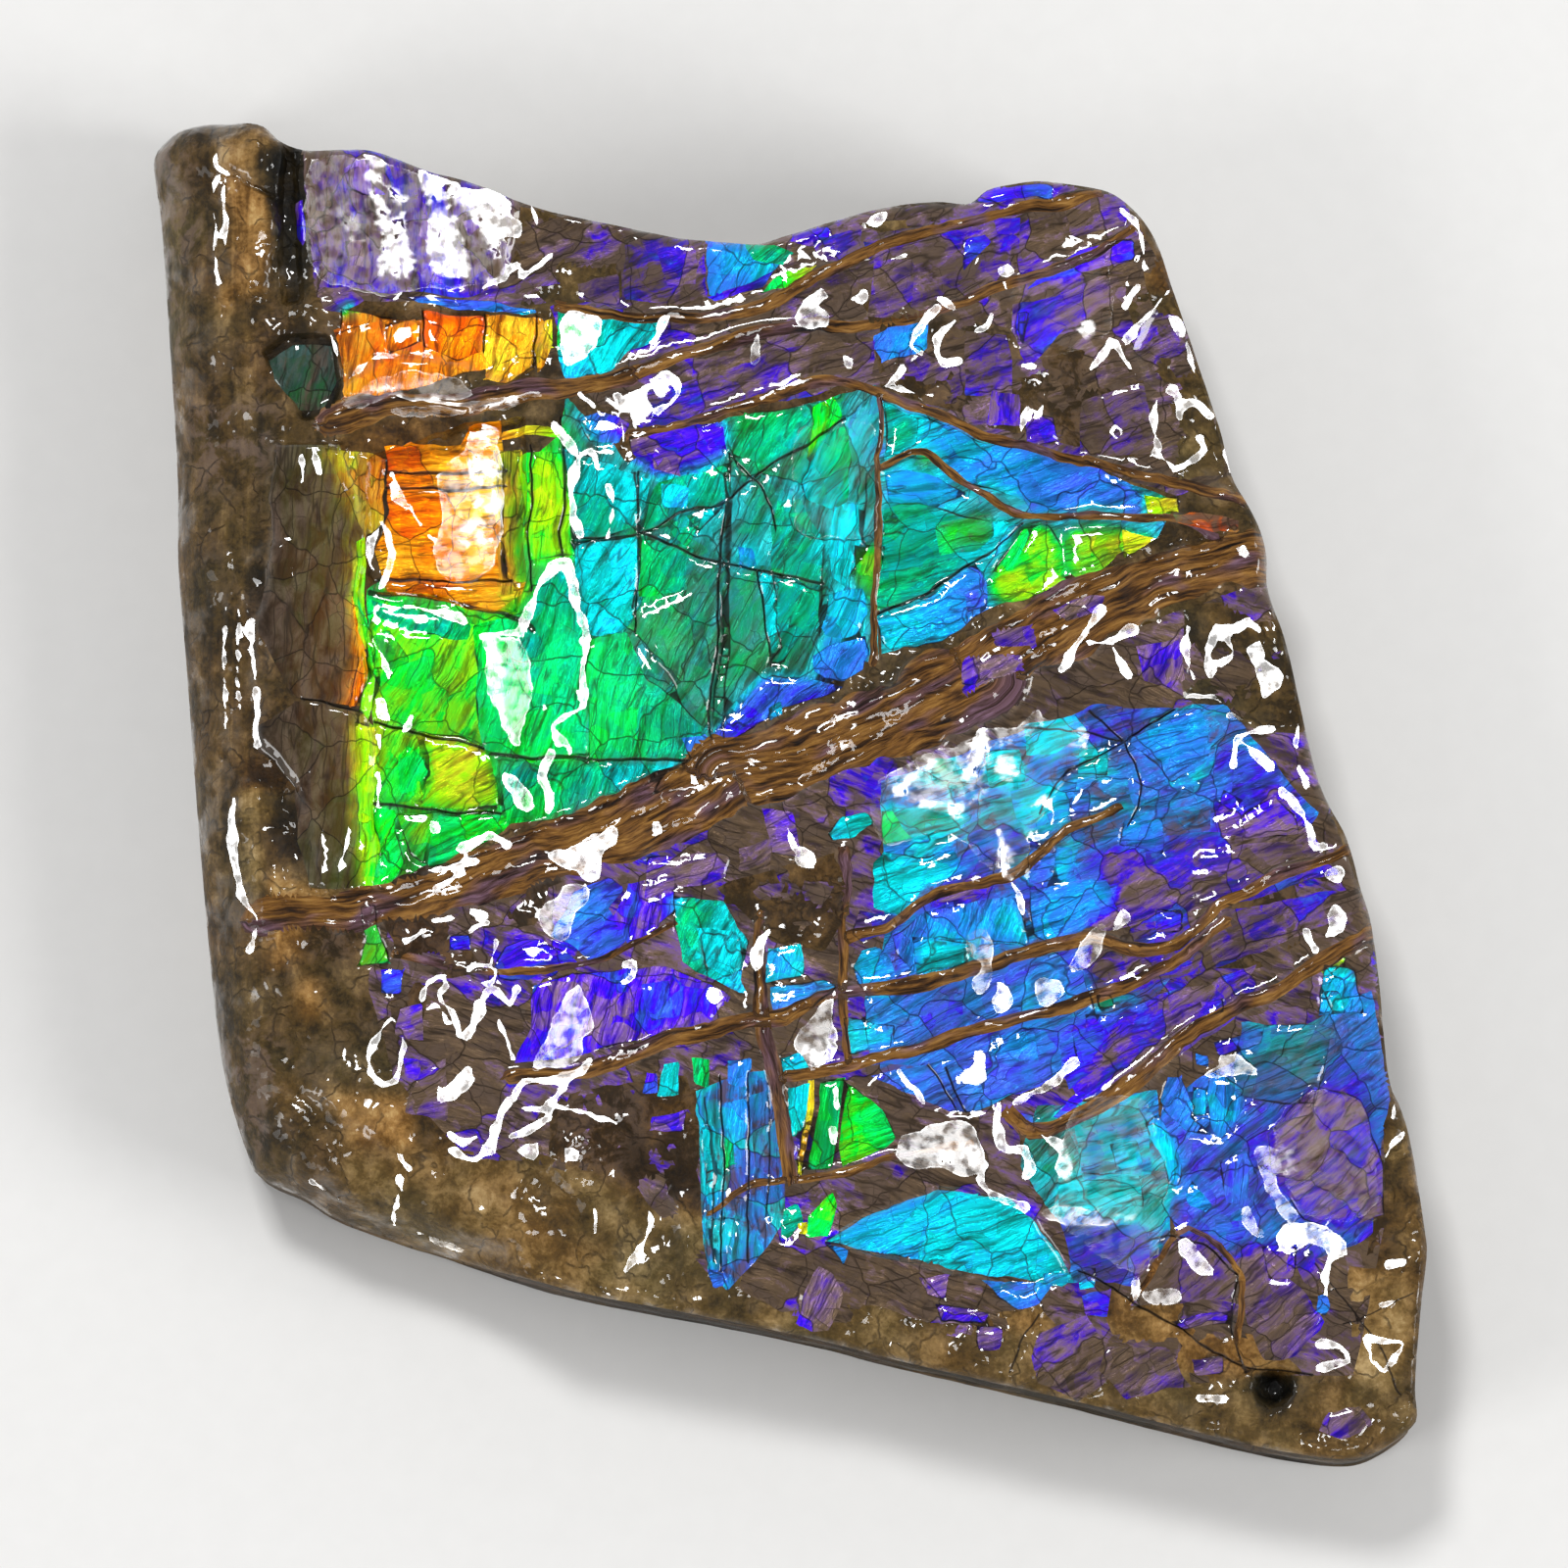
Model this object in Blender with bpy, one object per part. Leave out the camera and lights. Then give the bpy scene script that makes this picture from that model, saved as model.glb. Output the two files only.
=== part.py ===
"""An ammolite specimen: one flat stone whose face carries a crazed sheet of fossil shell.

It lies on its flat back with its face up: X runs across the face, Y towards its upper edge, Z up, and the
origin is under the middle of its outline. Its edge, seams and panels follow no simple shape, so their
places in the plan are drawing units, counted right and down from the corner of a drawing, and
DRAWING_WIDTH of them make up the stone's real WIDTH. Every height, width and radius is a real size.
"""

import math

import bmesh
import bpy
import numpy as np
from mathutils.geometry import delaunay_2d_cdt

MM = 0.001

# The drawing that the plan points are read from
DRAWING_WIDTH = 1304.0
DRAWING_CENTRE = (804.0, 800.0)

# The stone
WIDTH = 46.6 * MM
FACE_HEIGHT = 7.9 * MM
FACE_CROWN = 0.55 * MM
FACE_SUMMIT = (640, 760)

# Long, low waves of the face: direction and phase in degrees, length and height
WAVES = (
    (12, 328, 13.0 * MM, 0.12 * MM),
    (71, 108, 9.4 * MM, 0.09 * MM),
    (128, 134, 6.7 * MM, 0.07 * MM),
    (157, 355, 4.3 * MM, 0.05 * MM),
)

# The keel roll along the left edge, and the share of its bend at which the rim is as round as the roll
SHOULDER_DROP = 1.7 * MM
ROLL_RADIUS = 1.7 * MM
ROUND_SHARE = 0.6
LEAST_ROLL_WIDTH = 0.5 * MM

# The rim, the side wall and the back. Each ledge of the wall lies at a share of the way down and is worn
# back from the rim by a depth that swells and shrinks along the edge
RIM_RADIUS = 0.4 * MM
WALL_LEDGES = ((0.12, 0.20 * MM), (0.30, 0.06 * MM), (0.52, 0.30 * MM), (0.74, 0.12 * MM))
LEDGE_SWELL = 0.6
LEDGE_SWELL_LENGTH = 5.3 * MM
WALL_FOOT = 0.05 * MM
BACK_BEVEL = 0.45 * MM

# The relief of the face
STEP_WIDTH = 0.22 * MM
SOFT_STEP_WIDTH = 0.7 * MM
SEAM_FOOT = 0.12 * MM
PIT_DEPTH = 0.9 * MM
PIT_FLOOR_RADIUS = 0.24 * MM
PIT_MOUTH_RADIUS = 0.84 * MM
PIT_PLACE = (1298, 1417)
SEAM_SHOWS = 0.1 * MM
SMOOTH_DEGREES = 35

# How finely the solid is cut into triangles
CURVE_SPACING = 0.3 * MM
EDGE_SPACING = 0.95 * MM
FACE_SPACING = 1.02 * MM
GRID_CLEARANCE = 0.56 * MM
RELIEF_SPACING = 0.75 * MM
RELIEF_TO_RIM = 0.3 * MM
LEAST_SPACING = 0.12 * MM
RIM_RINGS = (0.07, 0.32, 1.0)
RING_CLEARANCE = 0.9

EDGE = (
    (152, 142), (168, 124), (186, 114), (223, 112), (262, 117), (284, 136), (312, 145), (374, 146),
    (433, 167), (481, 180), (548, 205), (640, 226), (696, 237), (739, 241), (772, 243), (803, 234),
    (851, 219), (902, 205), (953, 198), (989, 200), (1009, 186), (1040, 179), (1068, 177), (1099, 181),
    (1127, 186), (1146, 196), (1166, 215), (1183, 243), (1197, 285), (1225, 369), (1247, 436),
    (1258, 481), (1275, 512), (1287, 536), (1294, 564), (1294, 592), (1300, 615), (1315, 660),
    (1345, 790), (1375, 854), (1389, 904), (1400, 941), (1408, 1000), (1413, 1060), (1419, 1106),
    (1430, 1131), (1441, 1170), (1454, 1254), (1456, 1282), (1451, 1325), (1446, 1381), (1444, 1417),
    (1446, 1445), (1441, 1456), (1424, 1470), (1399, 1484), (1368, 1489), (1321, 1483), (1264, 1472),
    (1124, 1437), (1037, 1417), (924, 1391), (835, 1368), (717, 1344), (576, 1316), (453, 1277),
    (348, 1241), (309, 1218), (264, 1196), (250, 1171), (229, 1101), (216, 1016), (199, 831),
    (186, 662), (178, 564), (176, 455), (161, 230), (154, 174),
)

# The roll's outer side and the line where the face starts to bend down to it, both from top to bottom
ROLL_SIDE = (
    (154, 112), (161, 230), (176, 455), (186, 662), (199, 831), (216, 1016), (264, 1196), (453, 1277),
)
SHOULDER = (
    (300, 112), (303, 300), (322, 420), (368, 540), (372, 720), (380, 900), (392, 1000), (405, 1100),
    (436, 1190), (560, 1277),
)

# Plates that stand above or lie below the face: outline, level and how wide the step at their edge is
PLATES = {
    "tan_plate": (
        ((224, 170), (240, 172), (282, 199), (280, 242), (268, 292), (242, 302), (222, 300),
         (217, 240)),
        0.26 * MM, STEP_WIDTH,
    ),
    "upper_tan_plate": (
        ((224, 130), (262, 120), (284, 141), (283, 194), (240, 168), (222, 164)),
        0.2 * MM, STEP_WIDTH,
    ),
    "roll_groove": (
        ((286, 142), (301, 146), (306, 302), (288, 304)),
        -0.38 * MM, STEP_WIDTH,
    ),
    "dark_cavity": (
        ((270, 354), (287, 337), (332, 340), (346, 387), (338, 418), (310, 421)),
        -0.42 * MM, STEP_WIDTH,
    ),
    "upper_orange": (
        ((335, 323), (383, 314), (552, 320), (547, 372), (517, 388), (470, 368), (392, 362),
         (350, 388)),
        -0.2 * MM, STEP_WIDTH,
    ),
    "orange_recess": (
        ((374, 466), (430, 452), (474, 430), (532, 428), (533, 585), (526, 622), (478, 618),
         (439, 608), (388, 600), (374, 586)),
        -0.62 * MM, STEP_WIDTH,
    ),
    "chamfer_plate": (
        ((276, 450), (274, 600), (261, 628), (258, 700), (264, 756), (303, 797), (320, 860),
         (333, 908), (386, 908), (378, 817), (375, 735), (366, 600), (371, 540), (346, 450)),
        0.22 * MM, STEP_WIDTH,
    ),
    "keel_ledge": (
        ((268, 548), (249, 566), (228, 601), (226, 719), (238, 783), (290, 800), (296, 902),
         (330, 905), (300, 620), (290, 548)),
        0.14 * MM, STEP_WIDTH,
    ),
    "pale_lump": (
        ((243, 788), (272, 796), (290, 840), (292, 900), (270, 930), (248, 905), (240, 850)),
        0.3 * MM, SOFT_STEP_WIDTH,
    ),
    "lower_stone": (
        ((300, 1110), (400, 1176), (560, 1190), (604, 1240), (684, 1210), (700, 1344), (420, 1290)),
        -0.3 * MM, SOFT_STEP_WIDTH,
    ),
    "upper_stone": (
        ((540, 190), (640, 210), (634, 302), (520, 308), (508, 270)),
        -0.24 * MM, SOFT_STEP_WIDTH,
    ),
    "right_stone": (
        ((1202, 290), (1156, 352), (1176, 392), (1182, 450), (1270, 506), (1270, 420)),
        -0.26 * MM, SOFT_STEP_WIDTH,
    ),
    "side_stone": (
        ((1226, 618), (1310, 610), (1345, 740), (1300, 748), (1206, 712)),
        -0.22 * MM, SOFT_STEP_WIDTH,
    ),
    "cyan_wedge": (
        ((843, 1268), (886, 1240), (953, 1215), (1040, 1222), (1090, 1300), (1040, 1318),
         (1000, 1302), (868, 1275)),
        -0.24 * MM, STEP_WIDTH,
    ),
    "corner_stone": (
        ((1370, 1280), (1440, 1275), (1440, 1440), (1370, 1480), (1180, 1455), (1040, 1412),
         (1180, 1400), (1330, 1390)),
        -0.18 * MM, SOFT_STEP_WIDTH,
    ),
    "violet_pane": (
        ((1293, 1156), (1343, 1109), (1390, 1125), (1412, 1184), (1413, 1238), (1363, 1257),
         (1309, 1252), (1282, 1218)),
        0.2 * MM, STEP_WIDTH,
    ),
    "bright_violet": (
        ((540, 1004), (620, 980), (742, 1018), (716, 1048), (610, 1078), (524, 1084)),
        0.12 * MM, STEP_WIDTH,
    ),
}

# Brown seams that stand above the face: their middle line, half width at each end and rise
SEAMS = {
    "main_seam_upper": (
        ((262, 935), (400, 922), (520, 880), (640, 842), (740, 790)),
        0.6 * MM, 1.3 * MM, 0.26 * MM,
    ),
    "main_seam_middle": (
        ((740, 790), (820, 772), (900, 736), (1000, 690)),
        1.35 * MM, 1.45 * MM, 0.28 * MM,
    ),
    "main_seam_right": (
        ((1000, 690), (1090, 635), (1180, 590), (1292, 566)),
        1.3 * MM, 1.15 * MM, 0.26 * MM,
    ),
    "orange_seam": (
        ((338, 425), (400, 412), (470, 408), (545, 398), (640, 382)),
        0.6 * MM, 0.35 * MM, 0.2 * MM,
    ),
    "upper_seam": (
        ((570, 310), (696, 320), (781, 307), (837, 276), (916, 243), (1000, 217), (1121, 192)),
        0.3 * MM, 0.3 * MM, 0.18 * MM,
    ),
    "second_seam": (
        ((640, 382), (696, 358), (781, 334), (902, 326), (1017, 290), (1099, 264), (1158, 228)),
        0.4 * MM, 0.24 * MM, 0.18 * MM,
    ),
    "third_seam": (
        ((640, 442), (720, 424), (781, 403), (840, 385), (902, 402), (1000, 437), (1093, 465),
         (1268, 508)),
        0.22 * MM, 0.3 * MM, 0.18 * MM,
    ),
    "wedge_seam": (
        ((900, 474), (944, 460), (1000, 500), (1050, 524), (1190, 526), (1240, 545)),
        0.2 * MM, 0.24 * MM, 0.16 * MM,
    ),
    "post_seam": (
        ((898, 402), (896, 500), (893, 600), (890, 676)),
        0.16 * MM, 0.2 * MM, 0.14 * MM,
    ),
    "violet_seam": (
        ((400, 975), (500, 992), (590, 985), (690, 945)),
        0.2 * MM, 0.14 * MM, 0.14 * MM,
    ),
    "lower_left_seam": (
        ((520, 1100), (600, 1092), (680, 1064), (760, 1042), (800, 1040), (850, 1013), (920, 1008),
         (1000, 986), (1090, 958), (1190, 966), (1262, 912), (1374, 866)),
        0.45 * MM, 0.3 * MM, 0.18 * MM,
    ),
    "blue_seam": (
        ((866, 958), (905, 942), (960, 912), (1030, 894), (1085, 850), (1140, 822)),
        0.3 * MM, 0.2 * MM, 0.16 * MM,
    ),
    "long_blue_seam": (
        ((800, 1098), (880, 1086), (1000, 1050), (1090, 1024), (1190, 984), (1250, 940)),
        0.3 * MM, 0.3 * MM, 0.16 * MM,
    ),
    "low_right_seam": (
        ((1030, 1140), (1067, 1154), (1156, 1103), (1212, 1056), (1280, 1022), (1402, 950)),
        0.4 * MM, 0.45 * MM, 0.22 * MM,
    ),
    "bottom_seam": (
        ((722, 1236), (780, 1206), (860, 1196), (925, 1178), (990, 1170)),
        0.16 * MM, 0.26 * MM, 0.16 * MM,
    ),
    "post_left": (
        ((776, 930), (778, 1040), (792, 1110), (806, 1200)),
        0.34 * MM, 0.4 * MM, 0.16 * MM,
    ),
    "post_right": (
        ((860, 870), (862, 940), (858, 1010), (866, 1090)),
        0.26 * MM, 0.18 * MM, 0.14 * MM,
    ),
    "pane_rim": (
        ((1150, 1330), (1200, 1262), (1225, 1262), (1262, 1296), (1262, 1370)),
        0.16 * MM, 0.16 * MM, 0.14 * MM,
    ),
}

# Colour, metallic and roughness of the stone and of the shell's bands of flash
FINISHES = {
    "ironstone": ((0.085, 0.06, 0.03, 1), 0.0, 0.45),
    "seam": ((0.13, 0.06, 0.02, 1), 0.0, 0.4),
    "orange_flash": ((0.9, 0.22, 0.01, 1), 0.4, 0.25),
    "green_flash": ((0.05, 0.7, 0.03, 1), 0.4, 0.25),
    "teal_flash": ((0.0, 0.42, 0.33, 1), 0.4, 0.25),
    "blue_flash": ((0.02, 0.2, 0.75, 1), 0.4, 0.25),
    "violet_flash": ((0.11, 0.05, 0.42, 1), 0.4, 0.25),
}
FLASH_AREAS = (
    ("violet_flash", ((306, 150), (440, 170), (520, 190), (520, 300), (320, 300))),
    ("orange_flash", ((335, 318), (560, 318), (540, 622), (372, 600), (345, 450))),
    ("green_flash", ((372, 608), (480, 635), (570, 560), (600, 660), (560, 830), (385, 905))),
    ("teal_flash", (
        (575, 470), (740, 430), (895, 400), (895, 640), (740, 730), (590, 810), (570, 640),
    )),
    ("blue_flash", ((902, 408), (1250, 510), (1160, 555), (900, 660))),
    ("violet_flash", (
        (640, 380), (900, 320), (1150, 230), (1180, 460), (1000, 430), (760, 400), (660, 480),
    )),
    ("violet_flash", ((420, 950), (680, 900), (760, 1020), (520, 1090), (400, 1050))),
    ("blue_flash", (
        (890, 800), (1180, 700), (1340, 860), (1400, 1120), (1200, 1250), (700, 1200), (690, 920),
    )),
    ("blue_flash", ((843, 1268), (953, 1215), (1090, 1300), (990, 1350))),
    ("violet_flash", ((1140, 1270), (1400, 1110), (1410, 1240), (1350, 1370), (1140, 1390))),
)


def plan(points):
    """Drawing units as metres in the plan, an array of x and y"""
    scale = WIDTH / DRAWING_WIDTH
    points = np.asarray(points, float) - DRAWING_CENTRE
    return points * (scale, -scale)


def curve_through(points, spacing, closed=False):
    """Points about `spacing` apart along a smooth curve through the given ones"""
    points = [np.asarray(p, float) for p in points]
    count = len(points) if closed else len(points) - 1
    found = []
    for i in range(count):
        b, c = points[i], points[(i + 1) % len(points)]
        a = points[i - 1] if closed or i else 2 * b - c
        d = points[(i + 2) % len(points)] if closed or i + 2 < len(points) else 2 * c - b
        steps = max(1, round(float(np.linalg.norm(c - b)) / spacing))
        for t in np.arange(steps) / steps:
            bend = (2 * a - 5 * b + 4 * c - d) * t * t + (3 * b - a - 3 * c + d) * t**3
            found.append(b + 0.5 * ((c - a) * t + bend))
    if not closed:
        found.append(points[-1])
    return np.array(found)


def even_loop(loop, spacing):
    """A closed loop's points moved along it to lie evenly, about `spacing` apart"""
    ends = np.vstack([loop, loop[:1]])
    along = np.concatenate([[0], np.cumsum(np.linalg.norm(np.diff(ends, axis=0), axis=1))])
    count = round(along[-1] / spacing)
    places = np.arange(count) * along[-1] / count
    return np.column_stack([np.interp(places, along, ends[:, i]) for i in range(2)])


def nearest_on_path(spots, path, closed=False):
    """How far each spot is from a path, and how far along the path its nearest point is, from 0 to 1"""
    ends = np.vstack([path, path[:1]]) if closed else path
    lengths = np.linalg.norm(np.diff(ends, axis=0), axis=1)
    before = np.concatenate([[0], np.cumsum(lengths)])
    best = np.full(len(spots), np.inf)
    where = np.zeros(len(spots))
    for a, b, length, start in zip(ends[:-1], ends[1:], lengths, before):
        side = b - a
        t = np.clip((spots - a) @ side / max(length**2, 1e-18), 0, 1)
        gap = np.linalg.norm(spots - a - t[:, None] * side, axis=1)
        closer = gap < best
        best[closer] = gap[closer]
        where[closer] = (start + t[closer] * length) / before[-1]
    return best, where


def inside(spots, loop):
    """Whether each spot lies inside a closed loop"""
    x, y = spots.T
    found = np.zeros(len(spots), bool)
    for (ax, ay), (bx, by) in zip(loop, np.roll(loop, -1, axis=0)):
        if ay != by:
            found ^= ((ay > y) != (by > y)) & (x < (bx - ax) * (y - ay) / (by - ay) + ax)
    return found


def soft_step(t):
    t = np.clip(t, 0, 1)
    return t * t * (3 - 2 * t)


def depth_inside(spots, loop):
    """Distance from a loop, positive inside it"""
    gap = nearest_on_path(spots, loop, closed=True)[0]
    return np.where(inside(spots, loop), gap, -gap)


def roll_share(spots):
    """0 on the face and on the shoulder line, growing to 1 at the outer side of the roll"""
    x, y = spots.T
    side, shoulder = plan(ROLL_SIDE), plan(SHOULDER)
    x_side = np.interp(y, side[::-1, 1], side[::-1, 0])
    x_shoulder = np.interp(y, shoulder[::-1, 1], shoulder[::-1, 0])
    return np.clip((x_shoulder - x) / np.maximum(x_shoulder - x_side, LEAST_ROLL_WIDTH), 0, 1)


def rim_radius(share):
    return RIM_RADIUS + (ROLL_RADIUS - RIM_RADIUS) * soft_step(share / ROUND_SHARE)


def plate_relief(spots):
    height = np.zeros(len(spots))
    for outline, level, step in PLATES.values():
        depth = depth_inside(spots, plan(outline))
        height += level * soft_step(depth / step + 0.5)
    return height


def seam_relief(spots):
    height = np.zeros(len(spots))
    for line, start_width, end_width, rise in SEAMS.values():
        gap, where = nearest_on_path(spots, curve_through(plan(line), RELIEF_SPACING))
        half = start_width + (end_width - start_width) * where
        height = np.maximum(height, rise * soft_step((half + SEAM_FOOT - gap) / (SEAM_FOOT * 2)))
    return height


def face_heights(spots, edge):
    """The height of the face over each spot of the plan"""
    x, y = spots.T
    from_summit = np.linalg.norm(spots - plan([FACE_SUMMIT])[0], axis=1)
    height = FACE_HEIGHT - FACE_CROWN * 2 * (from_summit / WIDTH) ** 2
    for degrees, phase, length, rise in WAVES:
        way = math.radians(degrees)
        turns = (x * math.cos(way) + y * math.sin(way)) / length + phase / 360
        height += rise * np.sin(2 * math.pi * turns)
    share = roll_share(spots)
    gap = nearest_on_path(spots, edge, closed=True)[0]
    radius = rim_radius(share)
    rounding = radius - np.sqrt(np.maximum(radius**2 - np.maximum(radius - gap, 0) ** 2, 0))
    calm = soft_step(gap / RIM_RADIUS)
    pit = np.linalg.norm(spots - plan([PIT_PLACE])[0], axis=1)
    height += (plate_relief(spots) + seam_relief(spots)) * calm
    pit_wall = PIT_MOUTH_RADIUS - PIT_FLOOR_RADIUS
    height -= PIT_DEPTH * soft_step((PIT_MOUTH_RADIUS - pit) / pit_wall)
    return height - SHOULDER_DROP * share**2 - rounding


def rim_spots(edge, share):
    """Rings of spots that follow the edge, closer together where the rim rounds over"""
    ahead = np.roll(edge, -1, axis=0) - np.roll(edge, 1, axis=0)
    inward = np.column_stack([ahead[:, 1], -ahead[:, 0]]) / np.linalg.norm(ahead, axis=1)[:, None]
    radius = rim_radius(share)
    found = []
    for ring in RIM_RINGS:
        spots = edge + inward * (ring * radius)[:, None]
        gap = nearest_on_path(spots, edge, closed=True)[0]
        found.append(spots[inside(spots, edge) & (gap > RING_CLEARANCE * ring * radius)])
    return np.vstack(found)


def relief_paths():
    """The lines along both sides of every step and seam, where the relief changes"""
    paths = []
    for outline, _, step in PLATES.values():
        loop = even_loop(plan(outline), RELIEF_SPACING)
        centre = loop.mean(axis=0)
        for side in (-0.5, 0.5):
            away = loop - centre
            moved = loop + side * step * away / np.linalg.norm(away, axis=1)[:, None]
            paths.append(np.vstack([moved, moved[:1]]))
    for line, start_width, end_width, _ in SEAMS.values():
        middle = curve_through(plan(line), RELIEF_SPACING)
        ahead = np.gradient(middle, axis=0)
        across = np.column_stack([-ahead[:, 1], ahead[:, 0]]) / np.linalg.norm(ahead, axis=1)[:, None]
        half = np.linspace(start_width, end_width, len(middle))[:, None]
        for side in (-1, 1):
            for foot in (0, SEAM_FOOT):
                paths.append(middle + side * across * (half + foot))
    return paths


def grid_spots(low, high, spacing):
    """A grid of spots whose every second row is moved half a step"""
    rows = np.arange(low[1], high[1], spacing * math.sqrt(3) / 2)
    return np.array([
        (x, y)
        for i, y in enumerate(rows)
        for x in np.arange(low[0] + (i % 2) * spacing / 2, high[0], spacing)
    ])


def clear_of(spots, taken, nearest):
    """Whether each spot keeps its distance from all those already taken"""
    return np.array([np.hypot(*(taken - spot).T).min() >= nearest for spot in spots])


def triangulated_face(edge):
    """Plan points and triangles of the face, whose triangles follow the rim and the lines of its relief"""
    spots = np.vstack([edge, rim_spots(edge, roll_share(edge))])
    links = [(i, (i + 1) % len(edge)) for i in range(len(edge))]
    for path in relief_paths():
        gap = nearest_on_path(path, edge, closed=True)[0]
        kept = inside(path, edge) & (gap > RELIEF_TO_RIM) & clear_of(path, spots, LEAST_SPACING)
        places = len(spots) + np.cumsum(kept) - 1
        links += [(places[i], places[i + 1]) for i in range(len(path) - 1) if kept[i] and kept[i + 1]]
        spots = np.vstack([spots, path[kept]])
    grid = grid_spots(edge.min(axis=0), edge.max(axis=0), FACE_SPACING)
    grid = grid[inside(grid, edge)]
    spots = np.vstack([spots, grid[clear_of(grid, spots, GRID_CLEARANCE)]])
    points, _, faces, *_ = delaunay_2d_cdt([tuple(p) for p in spots], links, [], 1, 1e-9)
    return np.array([tuple(p) for p in points]), faces


def inward_at(rim_edges):
    """The way into the stone, level, at each point of the rim"""
    inward = {}
    for e in rim_edges:
        start, end = (v.co.to_2d() for v in e.verts)
        side = (end - start).orthogonal().normalized()
        if side.dot(e.link_faces[0].calc_center_median().to_2d() - start) < 0:
            side = -side
        for v in e.verts:
            inward[v] = inward.get(v, 0 * v.co) + side.to_3d()
    return {v: way.normalized() for v, way in inward.items()}


def wall_places(top, inward):
    """Where the wall passes on its way down from one point of the rim to the back"""
    places = []
    turn = 2 * math.pi / LEDGE_SWELL_LENGTH
    for i, (share, depth) in enumerate(WALL_LEDGES):
        swell = math.sin(turn * top.x + i) * math.sin(turn * top.y - 2 * i)
        place = top + inward * depth * (1 + LEDGE_SWELL * swell)
        place.z = BACK_BEVEL + (top.z - BACK_BEVEL) * (1 - share)
        places.append(place)
    for height, depth in ((BACK_BEVEL, WALL_FOOT), (0, BACK_BEVEL)):
        place = top + inward * depth
        place.z = height
        places.append(place)
    return places


def build_wall(bm, rim_edges):
    """The side wall, drawn down from the rim in ledges to a bevelled back, which closes the solid"""
    places = {v: wall_places(v.co, inward) for v, inward in inward_at(rim_edges).items()}
    edges = rim_edges
    while any(places.values()):
        made = bmesh.ops.extrude_edge_only(bm, edges=edges)["geom"]
        new = {v for v in made if isinstance(v, bmesh.types.BMVert)}
        above = {v: next(o for e in v.link_edges if (o := e.other_vert(v)) in places) for v in new}
        places = {v: places[above[v]] for v in new}
        for v, left in places.items():
            v.co = left.pop(0)
        edges = [e for e in made if isinstance(e, bmesh.types.BMEdge) and set(e.verts) <= new]
    bmesh.ops.edgeloop_fill(bm, edges=edges)


def make_material(name, colour, metallic, roughness):
    material = bpy.data.materials.new(name)
    material.use_nodes = True
    shader = material.node_tree.nodes["Principled BSDF"]
    shader.inputs["Base Color"].default_value = colour
    shader.inputs["Metallic"].default_value = metallic
    shader.inputs["Roughness"].default_value = roughness
    material.diffuse_color = colour
    return material


def paint(mesh):
    """Give each triangle the finish of the area that it lies in"""
    for name, finish in FINISHES.items():
        mesh.materials.append(make_material(name, *finish))
    order = list(FINISHES)
    middles = np.array([tuple(p.center) for p in mesh.polygons])
    spots = middles[:, :2]
    painted = np.zeros(len(middles), int)
    for name, outline in FLASH_AREAS:
        painted[inside(spots, plan(outline))] = order.index(name)
    painted[seam_relief(spots) > SEAM_SHOWS] = order.index("seam")
    painted[middles[:, 2] < FACE_HEIGHT - SHOULDER_DROP] = order.index("ironstone")
    mesh.polygons.foreach_set("material_index", painted.astype(np.int32))


def build_ammolite(collection):
    edge = even_loop(curve_through(plan(EDGE), CURVE_SPACING, closed=True), EDGE_SPACING)
    spots, faces = triangulated_face(edge)
    heights = face_heights(spots, edge)
    bm = bmesh.new()
    verts = [bm.verts.new((x, y, z)) for (x, y), z in zip(spots, heights)]
    for face in faces:
        bm.faces.new([verts[i] for i in face])
    build_wall(bm, [e for e in bm.edges if e.is_boundary])
    bmesh.ops.triangulate(bm, faces=bm.faces[:])
    bmesh.ops.recalc_face_normals(bm, faces=bm.faces[:])
    mesh = bpy.data.meshes.new("ammolite")
    bm.to_mesh(mesh)
    bm.free()
    paint(mesh)
    mesh.shade_smooth()
    mesh.set_sharp_from_angle(angle=math.radians(SMOOTH_DEGREES))
    stone = bpy.data.objects.new("ammolite", mesh)
    collection.objects.link(stone)
    return stone


def main():
    for old in list(bpy.data.objects):
        bpy.data.objects.remove(old)
    collection = bpy.data.collections.new("ammolite_specimen")
    bpy.context.scene.collection.children.link(collection)
    build_ammolite(collection)


main()
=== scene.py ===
import math
from functools import reduce

import bmesh
import bpy
import numpy as np
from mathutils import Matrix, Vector, kdtree
from mathutils.geometry import delaunay_2d_cdt


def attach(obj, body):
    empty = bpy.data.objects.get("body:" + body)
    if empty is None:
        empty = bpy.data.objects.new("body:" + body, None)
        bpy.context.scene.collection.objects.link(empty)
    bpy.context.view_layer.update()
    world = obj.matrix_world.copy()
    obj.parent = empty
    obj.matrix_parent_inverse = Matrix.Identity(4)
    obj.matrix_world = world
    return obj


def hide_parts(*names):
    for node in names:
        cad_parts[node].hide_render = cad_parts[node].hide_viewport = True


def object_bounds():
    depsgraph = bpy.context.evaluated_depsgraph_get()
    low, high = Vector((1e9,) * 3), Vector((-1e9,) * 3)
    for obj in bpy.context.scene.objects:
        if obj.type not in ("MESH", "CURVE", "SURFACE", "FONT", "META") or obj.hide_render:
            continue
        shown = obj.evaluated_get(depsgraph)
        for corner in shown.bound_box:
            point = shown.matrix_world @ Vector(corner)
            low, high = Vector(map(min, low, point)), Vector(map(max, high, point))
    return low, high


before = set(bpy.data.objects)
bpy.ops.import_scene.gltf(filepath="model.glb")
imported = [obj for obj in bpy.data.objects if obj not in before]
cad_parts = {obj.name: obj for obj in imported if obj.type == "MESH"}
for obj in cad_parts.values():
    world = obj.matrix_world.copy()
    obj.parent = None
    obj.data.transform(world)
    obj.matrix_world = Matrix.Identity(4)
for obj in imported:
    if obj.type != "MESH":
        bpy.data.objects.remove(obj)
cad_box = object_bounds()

MM = 0.001

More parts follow.
